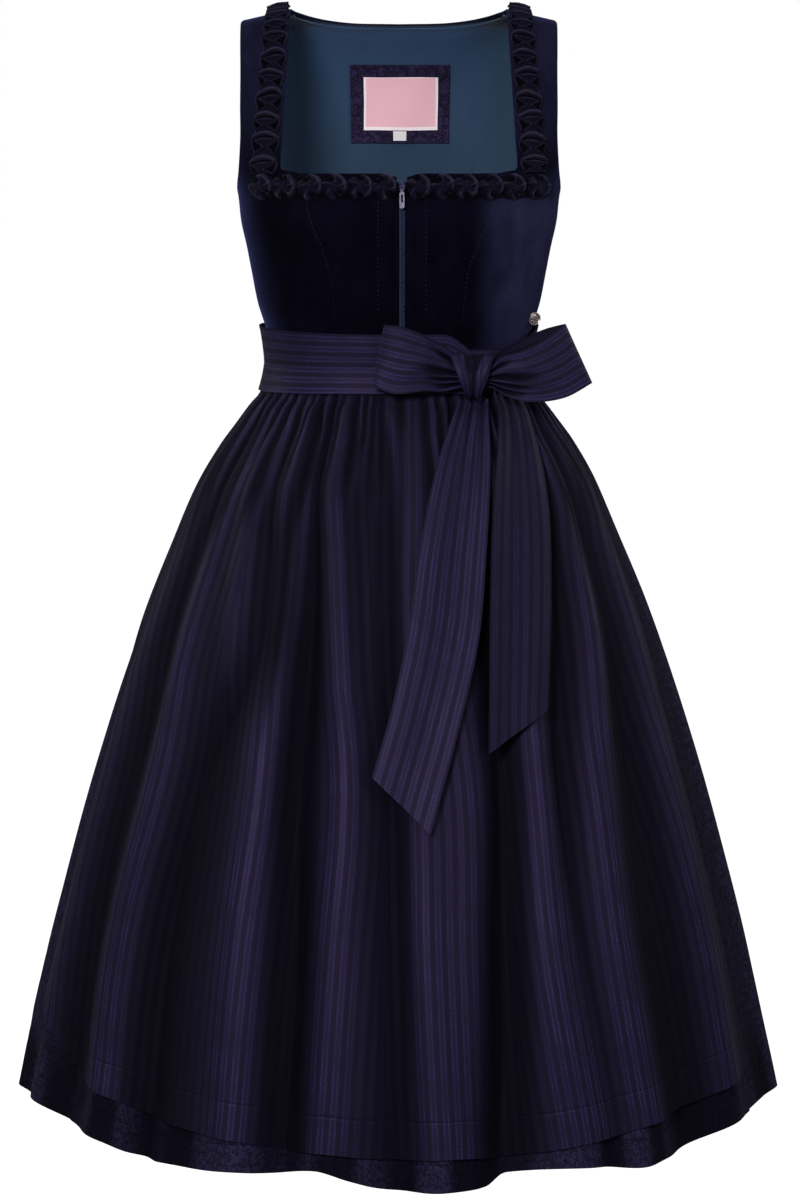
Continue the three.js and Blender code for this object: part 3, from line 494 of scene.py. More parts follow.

# %% [markdown]
# ## The velvet
# Cotton velvet in a blue so dark that it is nearly black. What shows is the sheen of the pile
# where the cloth turns away, so Principled's sheen does most of the work, over a base that
# hardly reflects. The blue at the sides comes from that sheen, helped by a blue sheen that Layer
# Weight paints into the colour, and by a sheen painted onto one side's panels and the straps.

# %% Velvet
velvet, tree, skin = finish(
    "velvet",
    Roughness=0.85,
    Specular_IOR_Level=0.02,
    Sheen_Weight=0.22,
    Sheen_Roughness=0.3,
    Sheen_Tint=(0.1, 0.1, 0.36, 1),
)
where = place_of(tree)
nap = use(tree, pile, {"Place": where})
# Painted sheen: Layer Weight's facing blends the colour to a lighter blue where the cloth turns away from the view.
edge = put(tree, "LayerWeight", {"Blend": 0.35}).outputs["Facing"]
# Painted sheen: the colour is lighter on the wearer's left panels towards the side, and on the straps towards the
# shoulder.
where_x, _, where_z = axes(tree, where)
painted_sheen = calc(tree, "MULTIPLY", fit(tree, where_x, 0.062, 0.105), fit(tree, where_z, -0.14, -0.19))
painted_sheen = calc(tree, "MAXIMUM", painted_sheen, fit(tree, where_z, -0.15, -0.1, 0.0, 0.34))
low = blend(tree, nap["Lean"], (0.0007, 0.0005, 0.0022, 1), (0.0017, 0.0013, 0.0052, 1))
high = blend(tree, nap["Lean"], (0.02, 0.021, 0.072, 1), (0.033, 0.034, 0.108, 1))
seen = blend(tree, fit(tree, edge, 0.2, 0.95), low, high)
sheen_colour = blend(tree, nap["Lean"], (0.0085, 0.008, 0.025, 1), (0.0175, 0.0168, 0.048, 1))
join(tree, blend(tree, painted_sheen, seen, sheen_colour), skin["Base Color"])
join(tree, bump(tree, nap["Speck"], 0.35, 0.0004), skin["Normal"])

# %% Velvet of the trim
# In the trim light and shade are painted into the colour: nearly black in the hollows of the relief, and a lighter,
# fuzzy sheen along every fold's raised edge.
trim_velvet, tree, skin = finish(
    "ruched velvet", Roughness=0.9, Specular_IOR_Level=0.02, Sheen_Weight=0.15, Sheen_Tint=(0.3, 0.27, 0.5, 1)
)
nap = use(tree, pile, {"Place": place_of(tree)})
height = ridge_of(tree)
hollow = blend(tree, fit(tree, height, 0.05, 0.5), (0.0003, 0.0002, 0.0009, 1), (0.0028, 0.0022, 0.0068, 1))
fold_edge_sheen = blend(tree, nap["Speck"], (0.0085, 0.0075, 0.0165, 1), (0.019, 0.017, 0.033, 1))
join(tree, blend(tree, fit(tree, height, 0.5, 1.0), hollow, fold_edge_sheen), skin["Base Color"])
join(tree, bump(tree, nap["Speck"], 0.5, 0.0006), skin["Normal"])

print("velvets", velvet.name, trim_velvet.name)

# %% [markdown]
# ## The other cloths
# The apron's satin shines a little more in its bands. The skirt's jacquard is duller, with
# its scrolls a shade lighter. The lining is a petrol cotton in plain weave, with shade painted
# into it where it runs down into the bodice and towards its sides.

# %% Apron satin
apron_satin, tree, skin = finish("apron satin", Specular_IOR_Level=0.12, Specular_Tint=(0.62, 0.5, 1, 1))
threads = threads_of(tree)
stripe = use(tree, satin, {"Threads": threads})
hem_line = use(tree, stitch_row, {"Threads": threads})
dark = blend(tree, stripe["Grain"], (0.0044, 0.0035, 0.0094, 1), (0.006, 0.0047, 0.0136, 1))
light = blend(tree, stripe["Grain"], (0.006, 0.0047, 0.0146, 1), (0.0084, 0.0064, 0.0222, 1))
ground = blend(tree, stripe["Band"], dark, light)
standing_out = ridge_of(tree)
# Painted highlight: the zigzag lines show brightly only where the cloth stands out on a ridge.
bright = calc(tree, "MULTIPLY", stripe["Zigzag"], fit(tree, standing_out, 0.35, 1.0, 0.0, 0.85))
zig = blend(tree, bright, ground, (0.026, 0.0195, 0.074, 1))
# Painted shade: where the cloth is tucked into a fold its colour goes nearly black.
tucked = blend(tree, standing_out, (0.0008, 0.0007, 0.0015, 1), zig)
join(tree, blend(tree, hem_line["Stitch"], tucked, (0.0022, 0.0018, 0.005, 1)), skin["Base Color"])
dull = fit(tree, standing_out, 0.0, 1.0, 0.3, 0.0)
join(tree, calc(tree, "ADD", dull, fit(tree, stripe["Band"], 0.0, 1.0, 0.58, 0.47)), skin["Roughness"])
fine = bump(tree, calc(tree, "ADD", stripe["Zigzag"], stripe["Rib"]), 0.3, 0.0002)
join(tree, bump(tree, calc(tree, "SUBTRACT", 0.0, hem_line["Dent"]), 0.5, 0.0006, fine), skin["Normal"])

# %% Skirt jacquard
skirt_jacquard, tree, skin = finish("skirt jacquard", Specular_IOR_Level=0.08, Specular_Tint=(0.6, 0.52, 1, 1))
threads = threads_of(tree)
curls = use(tree, scroll, {"Threads": threads})
hem_line = use(tree, stitch_row, {"Threads": threads, "Height": 0.024})
ground = blend(tree, curls["Ground"], (0.0055, 0.0044, 0.011, 1), (0.0077, 0.006, 0.0168, 1))
figure = blend(tree, curls["Ground"], (0.0142, 0.0108, 0.0312, 1), (0.0222, 0.0166, 0.0506, 1))
patterned = blend(tree, curls["Figure"], ground, figure)
standing_out = ridge_of(tree)
# Painted shade: where the cloth is tucked into a fold its colour goes nearly black.
tucked = blend(tree, standing_out, (0.0012, 0.001, 0.0024, 1), patterned)
join(tree, blend(tree, hem_line["Stitch"], tucked, (0.0022, 0.0018, 0.005, 1)), skin["Base Color"])
dull = fit(tree, standing_out, 0.0, 1.0, 0.25, 0.0)
join(tree, calc(tree, "ADD", dull, fit(tree, curls["Figure"], 0.0, 1.0, 0.68, 0.52)), skin["Roughness"])
fine = bump(tree, curls["Figure"], 0.4, 0.0002)
join(tree, bump(tree, calc(tree, "SUBTRACT", 0.0, hem_line["Dent"]), 0.5, 0.0006, fine), skin["Normal"])

# %% Lining cotton
lining_cotton, tree, skin = finish("lining cotton", Roughness=0.78, Specular_IOR_Level=0.25, Sheen_Weight=0.1)
threads = threads_of(tree)
plain = use(tree, weave, {"Threads": threads})
where = axes(tree, place_of(tree))
# Painted shade: darker towards the bottom, where the lining runs down into the bodice, and towards both sides, more on
# the right as seen from the front.
deeper = fit(tree, where[2], -0.22, -0.03)
to_left, to_right = fit(tree, where[0], -0.07, -0.1, 0.0, 0.3), fit(tree, where[0], 0.05, 0.11)
to_side = calc(tree, "MAXIMUM", to_left, to_right)
soft = noise(tree, place_of(tree), 14.0, 2.0)
base = blend(tree, soft, (0.0068, 0.021, 0.059, 1), (0.0114, 0.0318, 0.082, 1))
shade = blend(tree, to_side, blend(tree, deeper, (0.0038, 0.0133, 0.031, 1), base), (0.0034, 0.014, 0.034, 1))
join(tree, blend(tree, calc(tree, "MULTIPLY", plain["Slub"], 0.4), shade, (0.027, 0.07, 0.128, 1)), skin["Base Color"])
join(tree, bump(tree, plain["Height"], 0.4, 0.0002), skin["Normal"])

print("cloths", apron_satin.name, skirt_jacquard.name, lining_cotton.name)

# %% [markdown]
# ## Label, zip and metal
# A woven label is satin with a border in another thread; its field stays plain. The zip has a
# woven tape, a nylon coil and a nickel slider. The button is cast pewter, darker in its
# hollows, where polish doesn't reach.

# %% Label and tab
label_satin, tree, skin = finish("label satin", Roughness=0.5, Specular_IOR_Level=0.3)
threads = threads_of(tree)
plain = use(tree, weave, {"Threads": threads, "Pitch": 0.00035})
part = axes(tree, threads)
# The label lies 70 mm wide and 52 mm high; the threads are counted from its middle and foot.
side = calc(tree, "SUBTRACT", 0.0352, calc(tree, "ABSOLUTE", part[0]))
foot = calc(tree, "SUBTRACT", 0.026, apart(tree, part[1], 0.026))
rim = calc(tree, "MINIMUM", side, foot)
white, pink = (0.72, 0.66, 0.68, 1), (0.66, 0.33, 0.41, 1)
field = blend(tree, fit(tree, rim, 0.0028, 0.0034), white, pink)
join(tree, blend(tree, calc(tree, "MULTIPLY", plain["Slub"], 0.3), field, (0.85, 0.7, 0.74, 1)), skin["Base Color"])
join(tree, bump(tree, plain["Height"], 0.3, 0.0002), skin["Normal"])

tab_white, tree, skin = finish("tab satin", Roughness=0.55, Specular_IOR_Level=0.3)
plain = use(tree, weave, {"Threads": threads_of(tree), "Pitch": 0.00035})
join(tree, blend(tree, plain["Slub"], (0.5, 0.46, 0.48, 1), (0.75, 0.7, 0.72, 1)), skin["Base Color"])
join(tree, bump(tree, plain["Height"], 0.3, 0.0002), skin["Normal"])

# %% Zip tape, coil and metal
zip_tape, tree, skin = finish("zip tape", Roughness=0.8, Specular_IOR_Level=0.2)
plain = use(tree, weave, {"Threads": threads_of(tree), "Pitch": 0.0008})
join(tree, blend(tree, plain["Slub"], (0.008, 0.014, 0.035, 1), (0.02, 0.035, 0.075, 1)), skin["Base Color"])
join(tree, bump(tree, plain["Height"], 0.5, 0.0003), skin["Normal"])

zip_nylon, tree, skin = finish("zip nylon", Roughness=0.45, Specular_IOR_Level=0.18)
where = place_of(tree)
worn = blend(tree, noise(tree, where, 300.0, 2.0), (0.0035, 0.006, 0.021, 1), (0.008, 0.0125, 0.04, 1))
# The bends of the coil, at its sides, catch more light than the meshed middle.
from_middle = apart(tree, axes(tree, where)[0], ZIP_X * MM)
join(tree, blend(tree, fit(tree, from_middle, 0.001, 0.0024), worn, (0.02, 0.03, 0.078, 1)), skin["Base Color"])

zip_nickel, tree, skin = finish("zip nickel", Metallic=1.0)
where = place_of(tree)
rubbed = noise(tree, where, 700.0, 3.0, 0.6)
join(tree, blend(tree, rubbed, (0.022, 0.022, 0.032, 1), (0.085, 0.085, 0.11, 1)), skin["Base Color"])
join(tree, fit(tree, rubbed, 0.3, 0.7, 0.5, 0.34), skin["Roughness"])
join(tree, bump(tree, rubbed, 0.15, 0.0001), skin["Normal"])

slider_nickel, tree, skin = finish("slider nickel", Metallic=0.9, Roughness=0.42, Specular_IOR_Level=0.1)
rubbed = noise(tree, place_of(tree), 420.0, 3.0, 0.6)
plating = blend(tree, fit(tree, rubbed, 0.42, 0.62), (0.002, 0.0022, 0.006, 1), (0.016, 0.0165, 0.032, 1))
join(tree, plating, skin["Base Color"])
join(tree, bump(tree, rubbed, 0.3, 0.0002), skin["Normal"])

# %% Pewter and thread
pewter, tree, skin = finish("button pewter")
where = place_of(tree)
relief = put(tree, "AmbientOcclusion", {"Distance": 0.0012}, samples=8).outputs["AO"]
grime = noise(tree, where, 500.0, 3.0, 0.6)
hollow = calc(tree, "MULTIPLY", fit(tree, relief, 0.35, 0.9), fit(tree, grime, 0.25, 0.6, 0.6, 1.0))
join(tree, blend(tree, hollow, (0.025, 0.022, 0.025, 1), (0.34, 0.29, 0.285, 1)), skin["Base Color"])
join(tree, fit(tree, hollow, 0.0, 1.0, 0.7, 0.34), skin["Roughness"])
join(tree, fit(tree, hollow, 0.0, 1.0, 0.3, 1.0), skin["Metallic"])
join(tree, bump(tree, grime, 0.25, 0.0002), skin["Normal"])

thread_dark, tree, skin = finish("sewing thread", Roughness=0.5, Specular_IOR_Level=0.4)
wave = put(tree, "TexWave", {"Vector": place_of(tree), "Scale": 900.0}, bands_direction="DIAGONAL")
twist = wave.outputs["Fac"]
join(tree, blend(tree, twist, (0.004, 0.004, 0.013, 1), (0.011, 0.011, 0.031, 1)), skin["Base Color"])
print("finishes", len(bpy.data.materials))


# %% [markdown]
# ## The bodice panels
# Princess seams cut the front in four and the back in three. Every panel is laid on the same
# form between its own edges, and its edges turn in at the seams. The inside of the cloth is
# lining, so Solidify gives the inner faces the second material.


# %% Charts of the panels
def coat(piece, *finishes):
    for finish_used in finishes:
        piece.data.materials.append(finish_used)
    if len(finishes) > 1:
        piece.modifiers["thickness"].material_offset = 1
    return piece


UNEVEN = 0.25


def dent(points, much):
    """Soft unevenness, as where cloth over a form isn't pulled tight."""
    x, y, z = points[..., 0], points[..., 1], points[..., 2]
    soft = np.sin(x / 17 + z / 41) * np.sin(z / 23 - x / 52) + 0.6 * np.sin(x / 9.5 - z / 13 + y / 30)
    return much * soft


def panel(face, start, end, top=0.0):
    """A chart between two edges, each given as an angle for a row, from row `top` to the waist."""

    def chart(a, b):
        v = mix(top, WAIST_ROW, b)
        share = closer(np.clip(a, 0, 1)) + (a - np.clip(a, 0, 1)) * 0.25
        angle = mix(start(v), end(v), share)
        points = bodice_point(face, angle, v)
        points[..., 1] -= dent(points, UNEVEN)
        if face > 0:
            # The back's side edge reaches the front's, so nothing shows through the side seam.
            points[..., 1] -= 2.4 * SEAM * ease(np.abs(angle), 80, 89)
        else:
            # The front's strap ends just under the back's, to close the shoulder seam.
            points[..., 1] += 9 * SEAM * (1 - ease(v, 0, 0.5))
        return points

    return chart


def armhole(v):
    return along(BODICE, ARMHOLE, v)


def front_seam(v):
    return along(FRONT_SEAM, 1, v)


def back_seam(v):
    return along(BACK_SEAM, 1, v)


# %% Front and side panels
for side, sign in SIDES:
    zip_edge = ZIP_X + sign * 2.5

    def at_zip(v, x=zip_edge):
        return angle_at(x, v)

    def at_seam(v, sign=sign):
        # This edge turns in against the side front's, so nothing shows between the two.
        return angle_at(sign * (front_seam(v) + 1.2 * SEAM), v)

    edges = (at_seam, at_zip) if sign < 0 else (at_zip, at_seam)
    centre = panel(-1, *edges, NECK_ROW)

    def with_placket(a, b, centre=centre):
        # The neckline runs down in a round corner at the zip.
        to_zip = np.abs(centre(a, b)[..., 0] - zip_edge)
        b = b + 0.05 * line(to_zip, 6.5) * np.clip(1 - b, 0, 1) ** 8
        points = centre(a, b)
        v = mix(NECK_ROW, WAIST_ROW, b)
        beside = line(np.abs(points[..., 0] - ZIP_X) - 9.5, 1.9)
        points[..., 1] -= 2.2 * beside * ease(v, 8.1, 8.7) * (1 - ease(v, 12.3, 13))
        return points

    piece = cloth(f"velvet_front_{side}", with_placket, 56, 64, rolled="left right top")
    dress(coat(piece, velvet, lining_cotton), [f"bodice_front_{side}"])
    cut(piece, 0.092, 0.178)

    def inner(v, sign=sign):
        edge = np.where(v < NECK_ROW, along(STRAP_EDGE, 1, v), front_seam(v))
        return sign * angle_at(edge + SEAM, v)

    def outer(v, sign=sign):
        return sign * armhole(v)

    edges = (outer, inner) if sign < 0 else (inner, outer)
    chart = panel(-1, *edges)
    piece = cloth(f"velvet_side_front_{side}", chart, 40, 150, rolled="left right top")
    dress(coat(piece, velvet, lining_cotton), [f"bodice_side_front_{side}"])
    cut(piece, 0.12, 0.345)

    def back_inner(v, sign=sign):
        return sign * angle_at(back_seam(v) + 2.8 * SEAM, v)

    edges = (back_inner, outer) if sign < 0 else (outer, back_inner)
    chart = panel(1, *edges, SIDE_BACK_TOP)
    piece = cloth(f"velvet_side_back_{side}", chart, 44, 72, rolled="left right")
    dress(coat(piece, velvet, lining_cotton), [f"bodice_side_back_{side}"])
    cut(piece, 0.12, 0.21)

# %% [markdown]
# ## The back and its lining
# The back is one piece from the neck edge and both shoulder seams to the waist. Its lining,
# seen through the neckline, is laid 6 mm further in on the same form and follows the
# armholes. On it lie a patch of jacquard and a satin label on top of that.


# %% The chart of the back
def back_chart(edge, uneven, at_top=0.0):
    """A chart of the whole back; `at_top` moves its upper edge back, towards the velvet."""

    def chart(a, b):
        across = 2 * closer(a, 0.5) - 1
        v = mix(along(BACK_NECK, 1, np.abs(across) * BACK_HALF), WAIST_ROW, b)
        points = bodice_point(1, -across * edge(v), v)
        points[..., 1] += dent(points, uneven) + at_top * (1 - ease(b, 0, 0.07))
        points[..., 1] -= 2 * SEAM * (1 - ease(v, 0, 0.4))
        return points

    return chart


def back_edge(v):
    return np.where(v < 6, armhole(v), angle_at(back_seam(v) - SEAM, v))


def lining_edge(v):
    return np.minimum(armhole(v) - 0.5, 82)


# %% Back and lining
piece = cloth("velvet_back", back_chart(back_edge, -UNEVEN), 120, 110, rolled="left right top")
dress(coat(piece, velvet, lining_cotton), ["bodice_back"])
cut(piece, 0.33, 0.34)
lining_chart = back_chart(lining_edge, 0.5, 3.2)
piece = cloth("back_lining", lining_chart, 90, 110, thick=1.2, out=LINING_OUT)
dress(coat(piece, lining_cotton), ["lining_back"])
cut(piece, 0.33, 0.34)


# %% Patch, label and tab
def on_lining(x0, x1, v0, v1):
    """A chart for what is sewn to the lining, between two places across and two rows."""

    def chart(a, b):
        v = mix(v0, v1, b)
        points = bodice_point(1, -angle_at(mix(x0, x1, a), v), v)
        points[..., 1] += dent(points, 0.3)
        return points

    return chart


patch_out = LINING_OUT - 1.2 - 1.6
piece = cloth("jacquard_patch", on_lining(-47, 45.3, 4.5, 6.64), 48, 44, 1.0, patch_out)
dress(coat(piece, skirt_jacquard), ["label_patch"])
cut(piece, 0.095, 0.082)
label_out = patch_out - 1 - 0.6
piece = cloth("woven_label", on_lining(-36.3, 33, 4.86, 6.3), 40, 32, 0.8, label_out)
dress(coat(piece, label_satin), ["label"])
cut(piece, 0.072, 0.058)
piece = cloth("loop_tab", on_lining(-6.8, 5.2, 6.32, 6.57), 10, 6, 0.8, label_out)
dress(coat(piece, tab_white), ["size_tab"])
cut(piece, 0.0125, 0.0115)

# %% [markdown]
# ## The zip
# A coil zip is a nylon spiral sewn to a tape, whose turns lock with those of the other side.
# One turn is a small rounded bar with six sides; copies of it go down the form, left and right
# in turn, half a pitch apart.


# %% Zip tape and coil
def zip_chart(half):
    def chart(a, b):
        v = mix(7.32, 13.9, b)
        return bodice_point(-1, angle_at(ZIP_X + (2 * a - 1) * half, v), v)

    return chart


def many(name, places, shape):
    """One object from many copies of a small shape, each placed by its own matrix."""
    bm = bmesh.new()
    for place_given in places:
        bmesh.ops.transform(bm, matrix=place_given, verts=shape(bm)["verts"])
    return to_object(bm, name)


def standing(point, outward, down):
    """A matrix whose X goes down the cloth and whose Z stands out of it, at a point in mm."""
    z = Vector(outward).normalized()
    x = Vector(down)
    x = (x - z * x.dot(z)).normalized()
    turned = Matrix((x, z.cross(x), z)).transposed()
    return Matrix.Translation(Vector(point) * MM) @ turned.to_4x4()


def zip_turn(bm):
    made = bmesh.ops.create_uvsphere(bm, u_segments=6, v_segments=4, radius=1)
    size = Matrix.Diagonal((0.00052, 0.0016, 0.0007, 1))
    bmesh.ops.transform(bm, matrix=size, verts=made["verts"])
    return made


# %% The closed zip
piece = cloth("zip_ribbon", zip_chart(13), 20, 60, 1.0, -2.2)
dress(coat(piece, zip_tape), ["zip_tape"])
cut(piece, 0.026, 0.168)
turns_down = np.arange(0.004, 0.997, 0.0071)
places = []
for index, b in enumerate(turns_down):
    a = 0.5 + (0.11 if index % 2 else -0.11)
    here, below = (np.array([a]), np.array([b])), (np.array([a]), np.array([b + 0.01]))
    chart = zip_chart(4)
    n = normals(chart, *here)[0]
    places.append(standing(chart(*here)[0] - n * 0.15, n, (chart(*below) - chart(*here))[0]))
piece = many("zip_coil_turns", places, zip_turn)
dress(coat(piece, zip_nylon), ["zip_coil"])
print("zip turns", len(places))

# %% [markdown]
# ## Slider and pull tab
# Both solids have their true shape already, so they stay and only get their finish. The slider
# is darker and duller, and the tab is bright.

# %% Metal of the zip
for name, metal in (("zip_slider", slider_nickel), ("zip_pull_tab", zip_nickel)):
    shown = bpy.data.objects[name]
    shown.data.materials.clear()
    shown.data.materials.append(metal)
    print(name, "is finished in", metal.name)

# %% [markdown]
# ## The ruched trim
# The trim is a tube of velvet that is pinched and caught together so that it opens into a row
# of little mouths. It can be thought of as one small relief that comes again and again, so a
# function of a unit's own two coordinates draws each kind, and every unit is turned and sized
# a little differently, because no two come out alike. On the straps a unit is a brow over a
# lip, with a hollow on either side below. Round the neck it is a rosette, half open.


# %% The two kinds of unit
def mouth(s, t, unit):
    """A strap unit: s goes down it and t across it, both -1 to 1."""
    s = s + 0.14 * np.sin(unit * 2.4) * t + 0.05 * np.sin(unit * 5.1)
    t = t + 0.1 * np.sin(unit * 3.3 + 1) * (1 - t**2)
    side = np.abs(t)
    brow = line(s + 0.76 - 0.5 * t**2, 0.15) * ease(1 - side, 0, 0.12)
    slot = line(s + 0.44 - 0.32 * t**2, 0.13) * ease(0.8 - side, 0, 0.25)
    lip = line(s + 0.14 - 0.12 * t**2, 0.1) * ease(0.72 - side, 0, 0.25)
    # Below the lip the strip is drawn in from both sides, which leaves a hollow at each.
    past = side - 0.14 - 1.2 * np.abs(s - 0.48)
    arms = line(past, 0.085) * ease(s, -0.15, 0.05)
    rims = line(side - 0.93, 0.08) * ease(s, -0.25, 0.0) * ease(0.98 - s, 0, 0.2)
    hollows = ease(past, 0.04, 0.22) * ease(0.92 - side, 0, 0.12)
    return 0.36 + 0.64 * brow + 0.34 * lip + 0.4 * arms + 0.42 * rims - 0.6 * slot - 0.6 * hollows


def rosette(s, t, unit):
    """A neck unit: s goes along the band and t across it, both -1 to 1."""
    s = s + 0.06 * np.sin(unit * 2.7)
    r = np.sqrt(s**2 + t**2)
    turn = np.arctan2(t, s) + 0.35 * np.sin(unit * 2.4 + 1) + 0.5 * r
    rim = line(r - 0.86, 0.13) * (0.62 + 0.38 * np.cos(turn))
    petals = np.clip(np.cos(5 * turn + 1.6 * np.sin(unit * 1.9)), 0, 1) ** 5
    folds = petals * ease(r, 0.12, 0.35) * ease(1 - r, 0, 0.2)
    wedge = line(np.sin(turn) - np.sign(t) * 0.98, 0.1) * ease(r, 0.3, 0.6)
    left = line(np.cos(turn) + 0.95, 0.12) * ease(r, 0.55, 0.8)
    knot = line(r, 0.16)
    return 0.4 + 0.5 * rim + 0.46 * folds + 0.25 * knot - 0.62 * wedge - 0.3 * left - 0.5 * ease(r, 0.98, 1.25)


# %% A ruched band
def ruched(name, place_on, count, along_a, columns, rows, unit_relief):
    def relief(a, b):
        run, side = (a, b) if along_a else (b, a)
        run, side = np.clip(run, 0, 1), np.clip(side, 0, 1)
        unit = np.clip(np.floor(run * count), 0, count - 1)
        return unit_relief((run * count - unit) * 2 - 1, side * 2 - 1, unit + len(name))

    def chart(a, b):
        run, side = (a, b) if along_a else (b, a)
        side = np.clip(side, 0, 1)
        pinch = 0.9 + 0.1 * np.cos(run * count * 2 * np.pi + np.pi)
        spread = 0.5 + (side - 0.5) * pinch
        at = (run, spread) if along_a else (spread, run)
        edge_fall = 1 - 0.8 * ease(np.abs(side * 2 - 1), 0.84, 1.0)
        height = 1.0 + 5.0 * np.clip(relief(a, b), 0, 1.15) * edge_fall
        return place_on(*at) + normals(place_on, *at) * height[..., None]

    piece = cloth(name, chart, columns, rows, thick=0.7, ridge=relief)
    return coat(piece, trim_velvet)


# %% Trim on straps and neck
# The strap's trim runs between two lines, from the shoulder to the row where the neck's starts.
STRAP_TRIM = [(0, 95.8, 118), (3, 97.9, 121.5), (5, 101.5, 126.5), (6, 103.8, 129), (7, 105.5, 131)]
NECK_TRIM_ROW = 7.04
for side, sign in SIDES:

    def on_strap(a, b, sign=sign):
        # The units are uneven, and at the shoulder the trim arches up over the seam.
        v = mix(0.06, NECK_TRIM_ROW, b + 0.006 * np.sin(b * 29 + sign))
        near, far = along(STRAP_TRIM, 1, v), along(STRAP_TRIM, 2, v)
        x = mix(near, far, a) if sign > 0 else -mix(far, near, a)
        points = bodice_point(-1, angle_at(x, v), v)
        points[..., 2] += 2.8 * ease(1.1 - v, 0, 1.1) * np.sin(np.pi * np.clip(a, 0.12, 0.88)) ** 0.5
        return points

    def on_neck(a, b, sign=sign):
        start = ZIP_X + sign * 4.6
        x = mix(start, 131, a) if sign > 0 else mix(-131, start, a)
        v = mix(NECK_TRIM_ROW, 8.08, b)
        return bodice_point(-1, angle_at(x, v), v)

    piece = ruched(f"strap_ruche_{side}", on_strap, 11, False, 28, 11 * 22, mouth)
    dress(piece, [f"ruche_strap_{side}"])
    cut(piece, 0.042, 0.36)
    piece = ruched(f"neck_ruche_{side}", on_neck, 6, True, 6 * 30, 26, rosette)
    dress(piece, [f"ruche_neck_{side}"])
    cut(piece, 0.27, 0.042)

# %% [markdown]
# ## The form of the skirt
# Below the waist the sections grow quickly over the gathers and then evenly to the hem. Deep
# folds stand in the front, each with its own place and height at five levels, and even folds
# go round the back. The apron lies on the same folds, 4.8 mm further out.

# %% Skirt sizes
WIDE, DEEP_FRONT, DEEP_BACK, SQUARE, FOLDED = range(1, 6)
SKIRT = [
    (-322, 117, 87, 78, 2.5, 0),
    (-336, 119, 88.5, 80, 2.5, 0),
    (-350, 124, 92, 86, 2.4, 0.15),
    (-357, 130, 97, 92, 2.4, 0.35),
    (-375, 142, 107, 106, 2.3, 0.8),
    (-395, 156, 118, 121, 2.25, 1),
    (-430, 177, 136, 143, 2.2, 1),
    (-480, 199, 157, 170, 2.1, 1),
    (-545, 226, 183, 196, 2.05, 1),
    (-620, 252, 208, 223, 2, 1),
    (-700, 276.5, 232, 247, 2, 1),
    (-780, 298, 253, 267, 2, 1),
    (-860, 318, 272, 285, 2, 1),
    (-930, 333, 285.5, 297, 2, 1),
    (-1000, 348, 297, 306, 2, 1),
]
LEVELS = (-420, -540, -660, -800, -960)
# One row a fold: its width, its angle at the five levels, and how far it stands out there.
FRONT_FOLDS = [
    (5, (-71, -70, -70, -70, -70), (4, 5, 6, 8, 9)),
    (5.5, (-61, -61, -60, -61, -60), (-5, -6, -8, -9, -10)),
    (5, (-53, -52, -51, -52, -49), (5, 7, 9, 11, 12)),
    (4, (-43, -38, -34, -34, -34), (6, 5, 0, 0, 0)),
    (5, (-37, -31, -38, -41, -41), (-5, -6, -7, -10, -12)),
    (4.4, (-30, -26.5, -26, -26, -25), (6, 9, 11, 13, 14)),
    (3.2, (-23.5, -20, -19.4, -17.8, -17.4), (-9, -13, -15, -16, -15)),
    (4, (-16, -12, -9.8, -10.2, -10.2), (5, 8, 9, 9, 9)),
    (2.6, (-11, -8.5, -5, -5, -5), (-4, -4, -2, 0, 0)),
    (2.8, (-2.6, -2, -0.8, -0.5, 0.2), (-4, -6, -7, -7, -6)),
    (4.5, (3.2, 2.8, 4, 4.5, 6), (4, 6, 7, 9, 10)),
    (4, (10, 11, 13.2, 12.3, 12), (2, 4, 6, 5, 3)),
    (3.4, (20, 20, 20.2, 17.9, 15.5), (-6, -9, -14, -16, -16)),
    (4.6, (28, 27, 25.6, 24.8, 27), (5, 8, 11, 13, 14)),
    (4, (45, 38, 32, 31, 33), (-7, -9, -8, -4, -3)),
    (5, (51, 47, 40, 37, 38), (6, 8, 10, 11, 12)),
    (5.5, (57, 54, 50, 48, 48), (-5, -7, -9, -10, -11)),
    (5, (64, 62, 59, 59, 58), (5, 6, 8, 9, 10)),
]
BACK_FOLD_HEIGHT = (4, 6, 8, 10, 12)
APRON_EDGE = [(-322, 80, 75), (-400, 80, 73.5), (-545, 79, 69), (-620, 77, 66.5), (-780, 76, 66), (-1000, 75, 66)]
APRON_CORNER = [(-322, 0), (-850, 0), (-900, 4), (-940, 13), (-1000, 14)]
APRON_HEM = [
    (-1, -938), (-0.75, -950), (-0.5, -962), (-0.2, -972), (0.05, -977), (0.35, -975), (0.65, -964), (1, -950)
]
SKIRT_TOP, SKIRT_HEM = -322.3, -1000
SKIRT_CUT = 2.35
# The skirt's hem by angle: it hangs lowest a little left of the middle, with a step after it.
HEM_LINE = [
    (-180, -996), (-120, -994), (-84, -991), (-73, -987), (-53, -991), (-38, -999), (-22, -995.5),
    (-12, -989.5), (-7, -997), (0, -1004), (7, -1006.5), (12.5, -1003), (16, -992), (29, -996),
    (37, -1003), (44, -999), (54, -993), (68, -988), (82, -990), (120, -994), (180, -996),
]
HEM_LIFT = 0.3


# %% Folds and hems
def level_value(values, z):
    return along(list(zip(LEVELS, values)), 1, z)


def skirt_angle(u, z):
    """u goes from -1 to 1 across the apron and from 1 to 3 round the back."""
    right, left = along(APRON_EDGE, 1, z), along(APRON_EDGE, 2, z)
    corner = along(APRON_CORNER, 1, z)
    over_right = u * right + corner * np.clip(-2 * u - 1, 0, 1)
    behind = left + (u - 1) / 2 * (360 - right - left) + corner * np.clip((u - 2.4) / 0.6, 0, 1)
    return np.where(u < 0, over_right, np.where(u <= 1, u * left, behind))


